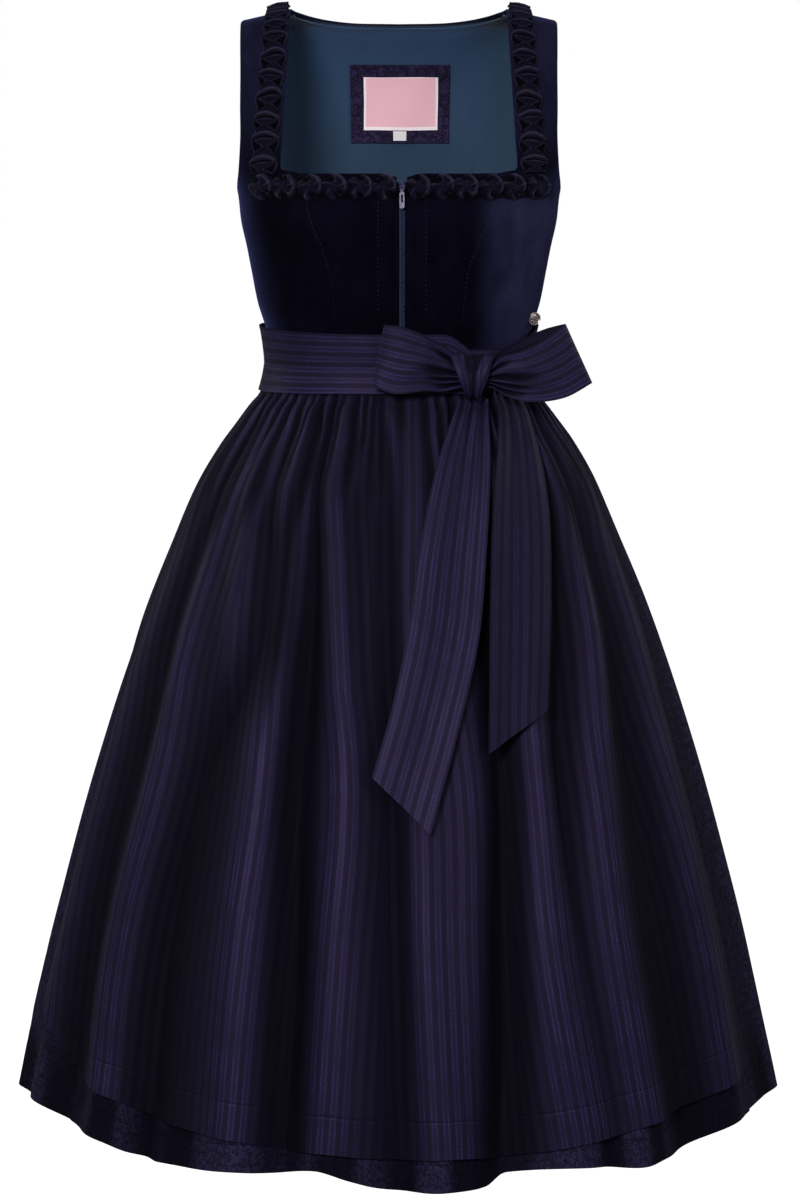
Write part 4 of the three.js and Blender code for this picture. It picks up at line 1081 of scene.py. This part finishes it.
def fold_out(angle, z):
    turned = (angle + 180) % 360 - 180
    out = np.zeros_like(turned)
    for width, at, height in FRONT_FOLDS:
        out += level_value(height, z) * line(turned - level_value(at, z), width)
    into = np.clip((np.abs(turned) - 74) / 106, 0, 1)
    wander = 0.5 * np.sin(5 * into + (turned > 0) + z / 900)
    wave = np.sin(10 * into * np.pi + wander)
    out += ease(into, 0, 0.08) * ease(1 - into, 0, 0.05) * level_value(BACK_FOLD_HEIGHT, z) * wave
    return out * along(SKIRT, FOLDED, z)


def skirt_hem(u):
    angle = (skirt_angle(u, SKIRT_HEM) + 180) % 360 - 180
    return along(HEM_LINE, 1, angle) + HEM_LIFT * fold_out(angle, SKIRT_HEM)


def apron_hem(u):
    level = along(APRON_HEM, 1, u)
    return level + HEM_LIFT * fold_out(skirt_angle(u, level), level)


def creases(angle, z):
    """Narrow, sharp lines in the floor of every front fold, 0 to 1."""
    turned = (angle + 180) % 360 - 180
    deep = np.zeros_like(turned)
    for width, at, height in FRONT_FOLDS:
        if min(height) < -4:
            floor_line = line(turned - level_value(at, z) - 0.6 * np.sin(z / 60 + width), 1.15)
            deep = np.maximum(deep, floor_line * np.clip(-level_value(height, z) / 9, 0, 1))
    return deep * along(SKIRT, FOLDED, z)


def section_point(angle, z, out):
    turn = np.radians(angle)
    exponent = 2 / along(SKIRT, SQUARE, z)
    sine, cosine = np.sin(turn), np.cos(turn)
    deep = np.where(cosine > 0, along(SKIRT, DEEP_FRONT, z), along(SKIRT, DEEP_BACK, z))
    x = (along(SKIRT, WIDE, z) + out) * power(sine, exponent)
    y = -(deep + out) * power(cosine, exponent) - SEAM * np.sign(cosine)
    return xyz(x, y, z)


print("hem", round(2 * float(along(SKIRT, WIDE, SKIRT_HEM))), "mm wide, with", len(FRONT_FOLDS), "front folds")

# %% [markdown]
# ## Gathers
# At the waist the cloth is drawn together on a thread: between the narrow dips that swallow
# most of it, it stands in little rounded ridges, which die out a hand's width below. An even
# wave would look like a machine's work, so only the skirt's back has one, `gathers`. In front
# each of the apron's slits has its own place, depth and length.


# %% Gathers of the skirt's back
def gather_phase(u, count):
    return count * (u + 0.011 * np.sin(9 * u) + 0.006 * np.sin(31 * u + 1)) * np.pi


def gathers(u, z, count, deep, ends):
    phase = gather_phase(u, count)
    dip = line(np.cos(phase), 0.34)
    uneven = 0.75 + 0.25 * np.sin(phase * 0.31 + 2)
    reach = ends - 26 * (1 + np.sin(phase * 0.53))
    fade = ease(z, reach, reach + 70)
    return fade * deep * (0.4 - dip) * uneven


# %% Slits of the apron
# The apron's slits: place across it, how deep, how wide, and how far down from the band.
APRON_SLITS = [
    (-0.95, 3.2, 0.016, 60), (-0.86, 3.6, 0.018, 90), (-0.77, 3.8, 0.016, 70), (-0.66, 5.0, 0.015, 95),
    (-0.60, 2.6, 0.012, 40), (-0.53, 5.4, 0.016, 80), (-0.46, 2.4, 0.014, 45), (-0.40, 3.0, 0.012, 50),
    (-0.34, 6.4, 0.017, 190), (-0.285, 4.6, 0.012, 70), (-0.23, 2.4, 0.012, 45), (-0.163, 5.2, 0.014, 60),
    (-0.126, 3.6, 0.011, 45), (-0.085, 3.0, 0.012, 70), (-0.05, 5.0, 0.013, 60), (0.0, 2.0, 0.014, 30),
    (0.1, 4.2, 0.014, 80), (0.16, 3.0, 0.012, 60), (0.23, 4.8, 0.016, 110), (0.31, 3.2, 0.013, 60),
    (0.40, 4.6, 0.015, 90), (0.48, 2.8, 0.012, 50), (0.55, 4.4, 0.015, 80), (0.63, 3.4, 0.013, 70),
    (0.71, 4.6, 0.016, 95), (0.80, 3.2, 0.014, 60), (0.88, 4.0, 0.016, 80), (0.95, 3.0, 0.014, 60),
]


def apron_gathers(u, z):
    """How far the apron stands out below its band, and its slits and crests, 0 to 1."""
    out, slit, crest = np.zeros_like(u * z), np.zeros_like(u * z), np.zeros_like(u * z)
    drop = -345 - z
    for place, deep, wide, reach in APRON_SLITS:
        wander = place + 0.006 * np.sin(drop / 21 + place * 40)
        fade = np.clip(1 - drop / (reach * 1.6), 0, 1) ** 1.2 * ease(drop, -3, 5)
        near = line(u - wander, 1.25 * wide * (1 + drop / 160))
        beside = line(u - wander - 2.1 * wide, 1.2 * wide)
        out += fade * deep * (0.42 * beside - 1.15 * near)
        slit = np.maximum(slit, near * np.minimum(1, fade * deep / 1.5))
        crest = np.maximum(crest, beside * np.minimum(1, fade * deep / 3))
    puffs = 1.3 * np.sin(u * 61 + np.sin(u * 17) * 2) * ease(-drop, -75, -8) * ease(drop, -3, 8)
    return out + puffs, slit, crest


# %% The apron's chart
APRON_TOP = -341.8


def apron_chart(a, b):
    u = 2 * a - 1
    z = mix(APRON_TOP, apron_hem(u), b)
    angle = skirt_angle(u, z)
    out = fold_out(angle, z) + mix(3.1, 4.8, ease(-z, 342, 350))
    out += apron_gathers(u, z)[0] - 2.4 * creases(angle, z)
    out += 0.7 * np.sin(u * 47 + z / 120) * ease(-z, 400, 520)
    return section_point(angle, z, out)


RIDGES = [at for _, at, height in FRONT_FOLDS if min(height) >= 0 and height[2] > 4 and abs(at[2]) < 65]


def apron_threads(a, b, u, v):
    """The stripes keep their width on every ridge, and the spare cloth hides between ridges."""
    z = mix(APRON_TOP, apron_hem(2 * a - 1), b)
    angle = skirt_angle(2 * a - 1, z)
    lies = np.array(
        [
            [np.interp(level_value(at, height), turned, place) for at in RIDGES]
            for height, turned, place in zip(z.mean(axis=1), angle, u)
        ]
    )
    middle = len(RIDGES) // 2
    placed = u - lies[:, middle : middle + 1] + lies[0, middle]
    for k in range(len(RIDGES) - 1):
        near, far = lies[:, k : k + 1], lies[:, k + 1 : k + 2]
        spare = np.maximum(0, (far[0] - near[0]) - (far - near))
        jump = ease(u, (near + far) / 2 - 0.005, (near + far) / 2 + 0.005)
        placed = placed + spare * (jump - (k < middle))
    return placed, v


def apron_ridge(a, b):
    u = 2 * a - 1
    z = mix(APRON_TOP, apron_hem(u), b)
    angle = skirt_angle(u, z)
    _, slit, crest = apron_gathers(u, z)
    # Painted shade and sheen for the satin: low in the valleys, slits and creases of the folds, high on the ridges and
    # on the crests of the gathers.
    folds = ease(fold_out(angle, z), -7.5, 11.5) + 1.1 * crest
    return np.clip(folds, 0, 1) * (1 - 0.98 * slit) * (1 - 0.75 * creases(angle, z))


# %% The skirt's chart
def skirt_chart(a, b):
    u = 4 * a - 1
    z = mix(SKIRT_TOP, skirt_hem(u), b)
    angle = skirt_angle(u, z)
    shown = np.where((u > 1) & (u < 3), np.minimum(ease(u, 1.02, 1.1), ease(3 - u, 0.02, 0.1)), 0)
    out = fold_out(angle, z) + gathers(u, z, 20, 3.4, -440) * shown * ease(-z, 350, 366)
    out += 0.7 * np.sin(u * 31 + z / 140) * shown * ease(-z, 400, 520)
    out += 1.6 * np.sin(u * 31 + 2.2 * np.sin(u * 11) + 4.1) * ease(-z, 900, 985) * (np.abs(u) < 1)
    # Under the apron the gathers are pressed flat, so they leave room for the apron's own.
    out -= 3.6 * ease(0.96 - np.abs(u), 0, 0.06) * ease(-z, 346, 356) * ease(z, -520, -440)
    return section_point(angle, z, out)


def skirt_threads(a, b, u, v):
    return (4 * a - 1) * (SKIRT_CUT / 4), v


def skirt_ridge(a, b):
    u = 4 * a - 1
    z = mix(SKIRT_TOP, skirt_hem(u), b)
    angle = skirt_angle(u, z)
    # Painted shade for the jacquard: low in the valleys and creases of the folds, and near the hem in bands along the
    # small folds that the skirt swings in below the apron.
    swing = 0.5 + 0.5 * np.sin(u * 31 + 2.2 * np.sin(u * 11) + 1)
    lit = ease(fold_out(angle, z), -10, 10) * (1 - 0.7 * creases(angle, z))
    return mix(0.72 * lit, (0.16 + 0.62 * lit) * (1 - 0.9 * ease(swing, 0.3, 0.8)), ease(-z, 900, 960))


# %% Skirt and apron
piece = cloth("skirt_cloth", skirt_chart, 448, 108, ring=True, threads=skirt_threads, ridge=skirt_ridge)
dress(coat(piece, skirt_jacquard), ["skirt"])
cut(piece, SKIRT_CUT, 0.70)
piece = cloth("apron_cloth", apron_chart, 330, 130, threads=apron_threads, ridge=apron_ridge)
dress(coat(piece, apron_satin), ["apron"])
cut(piece, 0.86, 0.66)

# %% [markdown]
# ## Waistband and ties
# The apron's band and its two long ties are straight strips, with the stripes running along
# them. They are laid round the smooth waist, the right tie under the left one at the back, and
# their upper edges run down to the knot.


# %% Charts round the waist
KNOT_ANGLE = 33


def waist_point(angle, z, out):
    turn = np.radians(angle)
    rows = [(row[FRONT_Z], *row[1:]) for row in BODICE[-4:]]
    sine, cosine = np.sin(turn), np.cos(turn)
    deep = np.where(cosine > 0, along(rows, FRONT, z), along(rows, BACK, z))
    x = (along(rows, HALF, z) + out) * power(sine, 0.8)
    above = xyz(x, -(deep + out) * power(cosine, 0.8) - SEAM * np.sign(cosine), z)
    return np.where((z < -322)[..., None], section_point(angle, z, out), above)


def band_chart(start, end, top, bottom, out, creases=0.0):
    def chart(a, b):
        angle = mix(start, end, a)
        z = mix(top(angle), bottom(angle), b)
        soft = creases * np.sin(b * 9 + 0.4 * np.sin(angle / 9)) * (0.5 + 0.5 * np.sin(angle / 17 + 1))
        return waist_point(angle, z, out(angle) + soft)

    return chart


def tie_top(angle):
    away = np.asarray(angle, float) - KNOT_ANGLE
    drawn_in = np.where(away > 0, np.clip(1 - away / 52, 0, 1), 1 - ease(-away, 0, 20))
    return -288.5 - 2.5 * np.cos(np.radians(angle)) ** 2 - 22 * drawn_in


def tie_bottom(angle):
    return -346 + 3 * np.cos(np.radians(angle)) ** 2


def slant(angle):
    return 8 * ease(np.abs(angle), 150, 205)


def strip_threads(wide):
    """Stripes along a strip, counted across its width, and too far along for a hem's stitches."""
    return lambda a, b, u, v: (b * wide, u + 2)


# %% Band and ties
band = band_chart(-78, 73, lambda g: -305 + 0 * g, lambda g: -341.5 + 0 * g, lambda g: 3.1 + 0 * g)
piece = cloth("apron_band", band, 120, 16, threads=strip_threads(0.047))
dress(coat(piece, apron_satin), ["apron_waistband"])
cut(piece, 0.29, 0.047)
right_tie = band_chart(
    -205, 32, lambda g: tie_top(g) - slant(g), lambda g: tie_bottom(g) - slant(g) * 0.4, lambda g: 5.5 + 0 * g, 0.35
)
piece = cloth("tie_round_right", right_tie, 240, 24, threads=strip_threads(0.061))
dress(coat(piece, apron_satin), ["tie_right"])
cut(piece, 0.47, 0.058)
left_tie = band_chart(
    34,
    205,
    lambda g: tie_top(g) + slant(g) * 0.4,
    lambda g: tie_bottom(g) + slant(g),
    lambda g: 5.5 + 3.6 * ease(np.abs(g), 135, 152),
    0.35,
)
piece = cloth("tie_round_left", left_tie, 200, 24, threads=strip_threads(0.061))
dress(coat(piece, apron_satin), ["tie_left"])
cut(piece, 0.36, 0.056)

# %% [markdown]
# ## The bow
# Each loop is one strip that goes out from the knot, turns over and comes back in front. It is
# pinched at the knot, so creases fan out from there. The tails hang over the apron and end in
# a slanted cut, and the knot is a turn of the same strip round it all.

# %% Bow sizes
LOOP_RIGHT = dict(
    start=58,
    dip=0,
    fold=(-13, -24),
    bulge=9,
    creases=[(0.5, 0.62, 0.62, 0.085), (0.68, 0.78, 0.5, 0.05), (0.86, 0.9, 0.4, 0.06), (0.25, 0.16, 0.45, 0.06)],
    rows=[
        (0, -316, -336, -101.8),
        (0.13, -308, -338.2, -101.5),
        (0.25, -301, -340, -102),
        (0.45, -293, -339, -105),
        (0.75, -284, -341, -108),
        (1, -281, -334, -109),
    ],
)
LOOP_LEFT = dict(
    start=70,
    dip=9,
    fold=(147, 171),
    bulge=10,
    creases=[(0.48, 0.56, 0.72, 0.1), (0.7, 0.74, 0.62, 0.055), (0.88, 0.88, 0.5, 0.06), (0.25, 0.16, 0.4, 0.05)],
    rows=[
        (0, -318, -336, -101.8),
        (0.12, -317, -337, -101.8),
        (0.24, -306, -344, -100),
        (0.45, -297, -349, -97),
        (0.75, -287, -346, -91),
        (1, -282, -334, -83),
    ],
)
TAIL_RIGHT = [
    (0, 52, -347.1, 79, -347.1),
    (0.2, 32, -405, 80, -405),
    (0.4, 17, -475, 76, -475),
    (0.6, 8, -535, 69, -545),
    (0.8, -6, -600, 51, -620),
    (1, -23, -657, 27, -704),
]
TAIL_LEFT = [
    (0, 83, -338, 96, -332),
    (0.12, 88, -366, 116, -362),
    (0.35, 82, -440, 131, -432),
    (0.6, 79, -520, 133, -505),
    (1, 77, -640, 129, -607),
]
# How far the tails' middle lies out from the skirt's form: over the apron, its gathers and folds.
TAIL_CLEARANCE = [(-330, 10), (-350, 16.5), (-375, 17), (-395, 17), (-480, 17), (-600, 20), (-720, 22)]
print("tails", round(-347.1 + 704), "and", round(-332 + 640), "mm from the knot down to their points")


# %% Bow loops
def loop_chart(shape, flipped):
    def chart(a, b):
        a = 1 - a if flipped else a
        turn = np.pi * mix(0.1, 1.9, a)
        reach = (1 - np.cos(turn)) / 2
        top, bottom, y = (along(shape["rows"], column, reach) for column in (1, 2, 3))
        # The front half hangs lower than the back half, which shows above it.
        top = top - shape["dip"] * ease(-np.sin(turn), 0, 0.7) * np.sin(np.pi * reach**1.3)
        x = mix(shape["start"], mix(*shape["fold"], b), reach)
        open_out = shape["bulge"] * (0.35 + 0.65 * np.minimum(1, reach * 2.2))
        waves = 1.2 * np.sin(b * 9) * (1 - reach) + 0.8 * np.sin(b * 6 + reach * 5) * reach
        waves += 4.2 * loop_creases(shape, reach, b) - 1.2 * line(b - 0.76 + 0.1 * reach, 0.07) * (1 - reach)
        return xyz(x, y + open_out * np.sin(turn) + waves, mix(top, bottom, b))

    return chart


def loop_creases(shape, reach, b):
    """Sharp creases that fan out from the knot, 0 to 1: start and end across, how far out."""
    deep = np.zeros_like(b * reach)
    for start, end, out, width in shape["creases"]:
        fade = ease(out - reach, 0, out * 0.6)
        deep = np.maximum(deep, fade * line(b - mix(start, end, reach / out), width * (0.6 + reach)))
    return deep


def loop_ridge(shape, flipped):
    def ridge(a, b):
        a = 1 - a if flipped else a
        reach = (1 - np.cos(np.pi * mix(0.1, 1.9, a))) / 2
        inside = 0.55 * ease(shape["dip"] * np.sin(np.pi * mix(0.1, 1.9, a)), 0, 3)
        # Painted shade in the creases that fan out from the knot; where a loop's front hangs low, its back half is
        # darker as well.
        return (1 - 0.97 * np.minimum(1, 1.4 * loop_creases(shape, reach, b))) * (1 - inside)

    return ridge


for side, shape, flipped in (("right", LOOP_RIGHT, False), ("left", LOOP_LEFT, True)):
    piece = cloth(
        f"loop_{side}",
        loop_chart(shape, flipped),
        130,
        60,
        thick=1.2,
        threads=strip_threads(0.063),
        ridge=loop_ridge(shape, flipped),
    )
    dress(coat(piece, apron_satin), [f"bow_loop_{side}"])
    cut(piece, 0.14, 0.063)


# %% Knot
def knot_pleats(turn, b):
    """Two rolls run down to the knot's foot, with a hollow between them and finer pleats."""
    slanted = b - 0.17 * np.cos(turn) * ease(b, 0.3, 0.75)
    rolls = 0.7 * np.cos(3 * np.pi * (slanted - 0.15)) + 0.3 * np.sin(slanted * 31 + 1)
    return rolls - 1.0 * line(b - 0.47, 0.12) * ease(np.cos(turn), 0.05, 0.6)


def knot_ridge(a, b):
    # Painted shade in the hollows between the knot's rolls and pleats.
    return 0.12 + 0.88 * ease(knot_pleats(a * 2 * np.pi, b), -0.9, 0.25)


def knot_chart(a, b):
    turn = a * 2 * np.pi
    level = 2 * b - 1
    upper = 0.5 + 0.5 * np.cos(turn)
    waist = 1 - 0.12 * level**2 + 0.03 * np.sin(3 * turn + b * 4)
    size = waist + 0.09 * knot_pleats(turn, b)
    x = 64 + level * 17 * mix(0.42, 1.12, upper) + 2 * (1 - upper)
    return xyz(x, -101.6 + 12.5 * size * np.sin(turn), -327 + 20.5 * size * np.cos(turn))


piece = cloth("knot_wrap", knot_chart, 90, 56, ring=True, threads=strip_threads(0.055), ridge=knot_ridge)
dress(coat(piece, apron_satin), ["bow_knot"])
cut(piece, 0.075, 0.04)


# %% Tails
def tail_chart(edges, phase):
    def chart(a, b):
        x = mix(along(edges, 1, b), along(edges, 3, b), a)
        z = mix(along(edges, 2, b), along(edges, 4, b), a)
        share = np.clip(1 - (np.abs(x) / along(SKIRT, WIDE, z)) ** along(SKIRT, SQUARE, z), 0, 1)
        smooth = along(SKIRT, DEEP_FRONT, z) * share ** (1 / along(SKIRT, SQUARE, z))
        waves = 2.6 * np.sin(a * 7 + phase) * (1 - 0.4 * b) * np.minimum(1, 0.3 + b * 4)
        waves += 1.6 * tail_pleats(a, b, phase)
        return xyz(x, -smooth - along(TAIL_CLEARANCE, 1, z) - waves, z)

    return chart


def tail_pleats(a, b, phase):
    return np.sin(a * 21 + phase + 3 * b) * np.clip(1 - b * 2.6, 0, 1)


def tail_ridge(phase, lit):
    # Painted shade in the hollows of the pleats near the knot; `lit` paints a whole tail darker, as the left one lies
    # in shade.
    return lambda a, b: lit * (1 - 0.5 * ease(-tail_pleats(a, b, phase), 0.1, 0.8))


for side, edges, phase, lit in (("right", TAIL_RIGHT, 0.4, 0.95), ("left", TAIL_LEFT, 2, 0.68)):
    piece = cloth(
        f"tail_{side}",
        tail_chart(edges, phase),
        48,
        150,
        thick=1.2,
        threads=lambda a, b, u, v: (a * 0.063, v + 2),
        ridge=tail_ridge(phase, lit),
    )
    dress(coat(piece, apron_satin), [f"bow_tail_{side}"])
    cut(piece, 0.063, 0.36 if side == "right" else 0.30)

# %% [markdown]
# ## The button
# A cast button has a raised rim and a relief. A spun disc would do for the form; here a cone
# is inset and pushed step by step, and small leaves stand round its middle.

# %% Button
BUTTON_X, BUTTON_V, BUTTON_RADIUS = 119, 12.44, 0.0062
at = (np.array([float(angle_at(BUTTON_X, BUTTON_V))]), np.array([BUTTON_V]))


def front_surface(angle, v):
    return bodice_point(-1, angle, v)


button_normal = normals(front_surface, *at)[0]
# It hangs on its thread, so it faces a little more to the front than the cloth behind it.
button_foot = front_surface(*at)[0] + button_normal * 1.6
button_normal = button_normal + np.array([0, -1.5, 0])
# %% The cast form
bm = bmesh.new()
made = bmesh.ops.create_cone(bm, cap_ends=True, segments=40, radius1=0.0058, radius2=BUTTON_RADIUS, depth=0.0022)
bmesh.ops.translate(bm, vec=(0, 0, 0.0011), verts=bm.verts[:])
face = max(bm.faces, key=lambda f: f.calc_center_median().z)
for thickness, rise in ((0.0009, 0.0006), (0.0006, -0.0007), (0.0013, 0.0005), (0.0012, 0.0003)):
    bmesh.ops.inset_region(bm, faces=[face], thickness=thickness, depth=0)
    bmesh.ops.translate(bm, vec=(0, 0, rise), verts=face.verts[:])
for index in range(8):
    turn = index * math.pi / 4
    leaf_made = bmesh.ops.create_uvsphere(bm, u_segments=8, v_segments=6, radius=1)["verts"]
    size = Matrix.Diagonal((0.0013, 0.0006, 0.0005, 1))
    spot = Matrix.Rotation(turn, 4, "Z") @ Matrix.Translation((0.0028, 0, 0.0026))
    bmesh.ops.transform(bm, matrix=spot @ size, verts=leaf_made)
down = front_surface(at[0], at[1] + 0.1)[0] - front_surface(*at)[0]
bmesh.ops.transform(bm, matrix=standing(button_foot, button_normal, down), verts=bm.verts[:])
piece = to_object(bm, "cast_button")
soft_edges = piece.modifiers.new("soft edges", "BEVEL")
soft_edges.width, soft_edges.segments = 0.0002, 2
soft_edges.limit_method = "ANGLE"
soft_edges.angle_limit = math.radians(35)
dress(coat(piece, pewter), ["button"])
print("button", round(2000 * BUTTON_RADIUS, 1), "mm across, with", len(piece.data.polygons), "faces")

# %% [markdown]
# ## Sewing
# Two rows of stitches hold the placket beside the zip, and one row lies in each princess seam.
# The lining's neck edge is topstitched, and two slanting rows mark its own seams. A stitch is a
# thin six-sided bar; the rows walk over the same charts as the cloth, so every stitch sits on it.


# %% A row of stitches
def stitch(bm):
    lying = Matrix.Rotation(math.pi / 2, 4, "Y")
    return bmesh.ops.create_cone(
        bm, cap_ends=True, segments=6, radius1=0.00016, radius2=0.00016, depth=0.0017, matrix=lying
    )


def sewn(name, chart, path, count, lift, inward=False):
    """A row of stitches down a path: path(t) gives the chart's two numbers."""
    t = np.linspace(0, 1, count)
    a, b = path(t)
    here = chart(a, b)
    n = normals(chart, a, b) * (-1 if inward else 1)
    ahead = chart(*path(t + 1e-3)) - here
    places = [standing(p + q * lift, q, d) for p, q, d in zip(here, n, ahead)]
    return coat(many(name, places, stitch), thread_dark)


# %% Rows on the velvet
for side, sign in SIDES:

    def beside_zip(t, sign=sign):
        v = mix(8.15, 12.2, t)
        return angle_at(ZIP_X + sign * 21, v), v

    def in_seam(t, sign=sign):
        v = mix(8.15, 12.4, t)
        return angle_at(sign * front_seam(v), v), v

    piece = sewn(f"placket_stitches_{side}", front_surface, beside_zip, 26, 0.2)
    dress(piece, [])
    piece = sewn(f"seam_stitches_{side}", front_surface, in_seam, 28, -0.4)
    dress(piece, [])


# %% Rows on the lining
def lining_surface(x, v):
    points = bodice_point(1, -angle_at(x, v), v)
    points[..., 1] += dent(points, 0.5)
    return points


def neck_row(t):
    return mix(0.32, 0.68, t), 0.037 + 0 * t


piece = sewn("neck_stitches", lining_chart, neck_row, 66, 7.1, inward=True)
dress(piece, [])
for side, sign in SIDES:

    def lining_seam(t, sign=sign):
        return sign * mix(92.0, 66.0, t**0.7), mix(6.2, 7.7, t)

    piece = sewn(f"lining_stitches_{side}", lining_surface, lining_seam, 20, 7.1, inward=True)
    dress(piece, [])

# %% [markdown]
# ## Studio
# The dress stands free over a pale floor in a pale room. A broad lamp high on the left makes
# the folds, a weaker one fills from the right, and two narrow ones behind the dress graze the
# velvet's edges. The room itself is a plain pale world.

# %% Floor
bm = bmesh.new()
bmesh.ops.create_grid(bm, x_segments=1, y_segments=1, size=30)
bmesh.ops.translate(bm, vec=(0, 0, -1.5), verts=bm.verts[:])
floor = to_object(bm, "studio_floor")
pale, tree, skin = finish("pale floor", Roughness=0.9)
skin["Base Color"].default_value = (0.3, 0.3, 0.3, 1)
skin["Emission Color"].default_value = (1, 1, 1, 1)
skin["Emission Strength"].default_value = 0.97
floor.data.materials.append(pale)
floor.visible_diffuse = False
floor.visible_glossy = False


# %% Lamps
def lamp(name, place_at, aim, size, watts):
    light = bpy.data.lights.new(name, "AREA")
    light.shape = "DISK"
    light.size = size
    light.energy = watts
    shown = bpy.data.objects.new(name, light)
    shown.location = place_at
    shown.rotation_euler = (Vector(aim) - Vector(place_at)).to_track_quat("-Z", "Y").to_euler()
    bpy.context.scene.collection.objects.link(shown)


lamp("key", (-0.9, -3.4, 0.9), (0, 0, -0.55), 1.0, 136)
lamp("fill", (2.2, -2.8, 0.6), (0, 0, -0.5), 1.6, 35)
lamp("left edge", (-2.2, 0.6, 0.5), (0, 0, -0.1), 1.0, 14)
lamp("right edge", (2.2, 0.6, 0.5), (0, 0, -0.1), 1.0, 14)
lamp("top", (0, -0.3, 2.2), (0, 0, -0.5), 1.2, 20)

print("lamps", [light.name for light in bpy.data.lights])

# %% The room
world = bpy.data.worlds.new("pale room")
bpy.context.scene.world = world
world.use_nodes = True
tree = world.node_tree
tree.nodes.clear()
room = put(tree, "Background", {"Color": (1, 1, 1, 1)})
seen = put(tree, "LightPath").outputs["Is Camera Ray"]
join(tree, fit(tree, seen, 0.0, 1.0, 0.16, 1.0), room.inputs["Strength"])
end = tree.nodes.new("ShaderNodeOutputWorld")
tree.links.new(room.outputs[0], end.inputs[0])
print("room", world.name)

# %% [markdown]
# ## Camera
# The camera stands three metres in front of the dress, a little below its shoulders, and
# looks slightly down. A long lens keeps the sides from falling away.

# %% Camera
lens = bpy.data.cameras.new("camera")
lens.sensor_fit = "VERTICAL"
lens.sensor_height = 36
lens.lens = 3288 / 1200 * 36
lens.clip_end = 60
camera = bpy.data.objects.new("camera", lens)
camera.location = (0.001, -2.985, -0.082)
camera.rotation_euler = (math.radians(90 - 8.7454), 0, 0)
bpy.context.scene.collection.objects.link(camera)
bpy.context.scene.camera = camera
bpy.context.scene.view_settings.view_transform = "Standard"
print("lens", round(lens.lens), "mm")
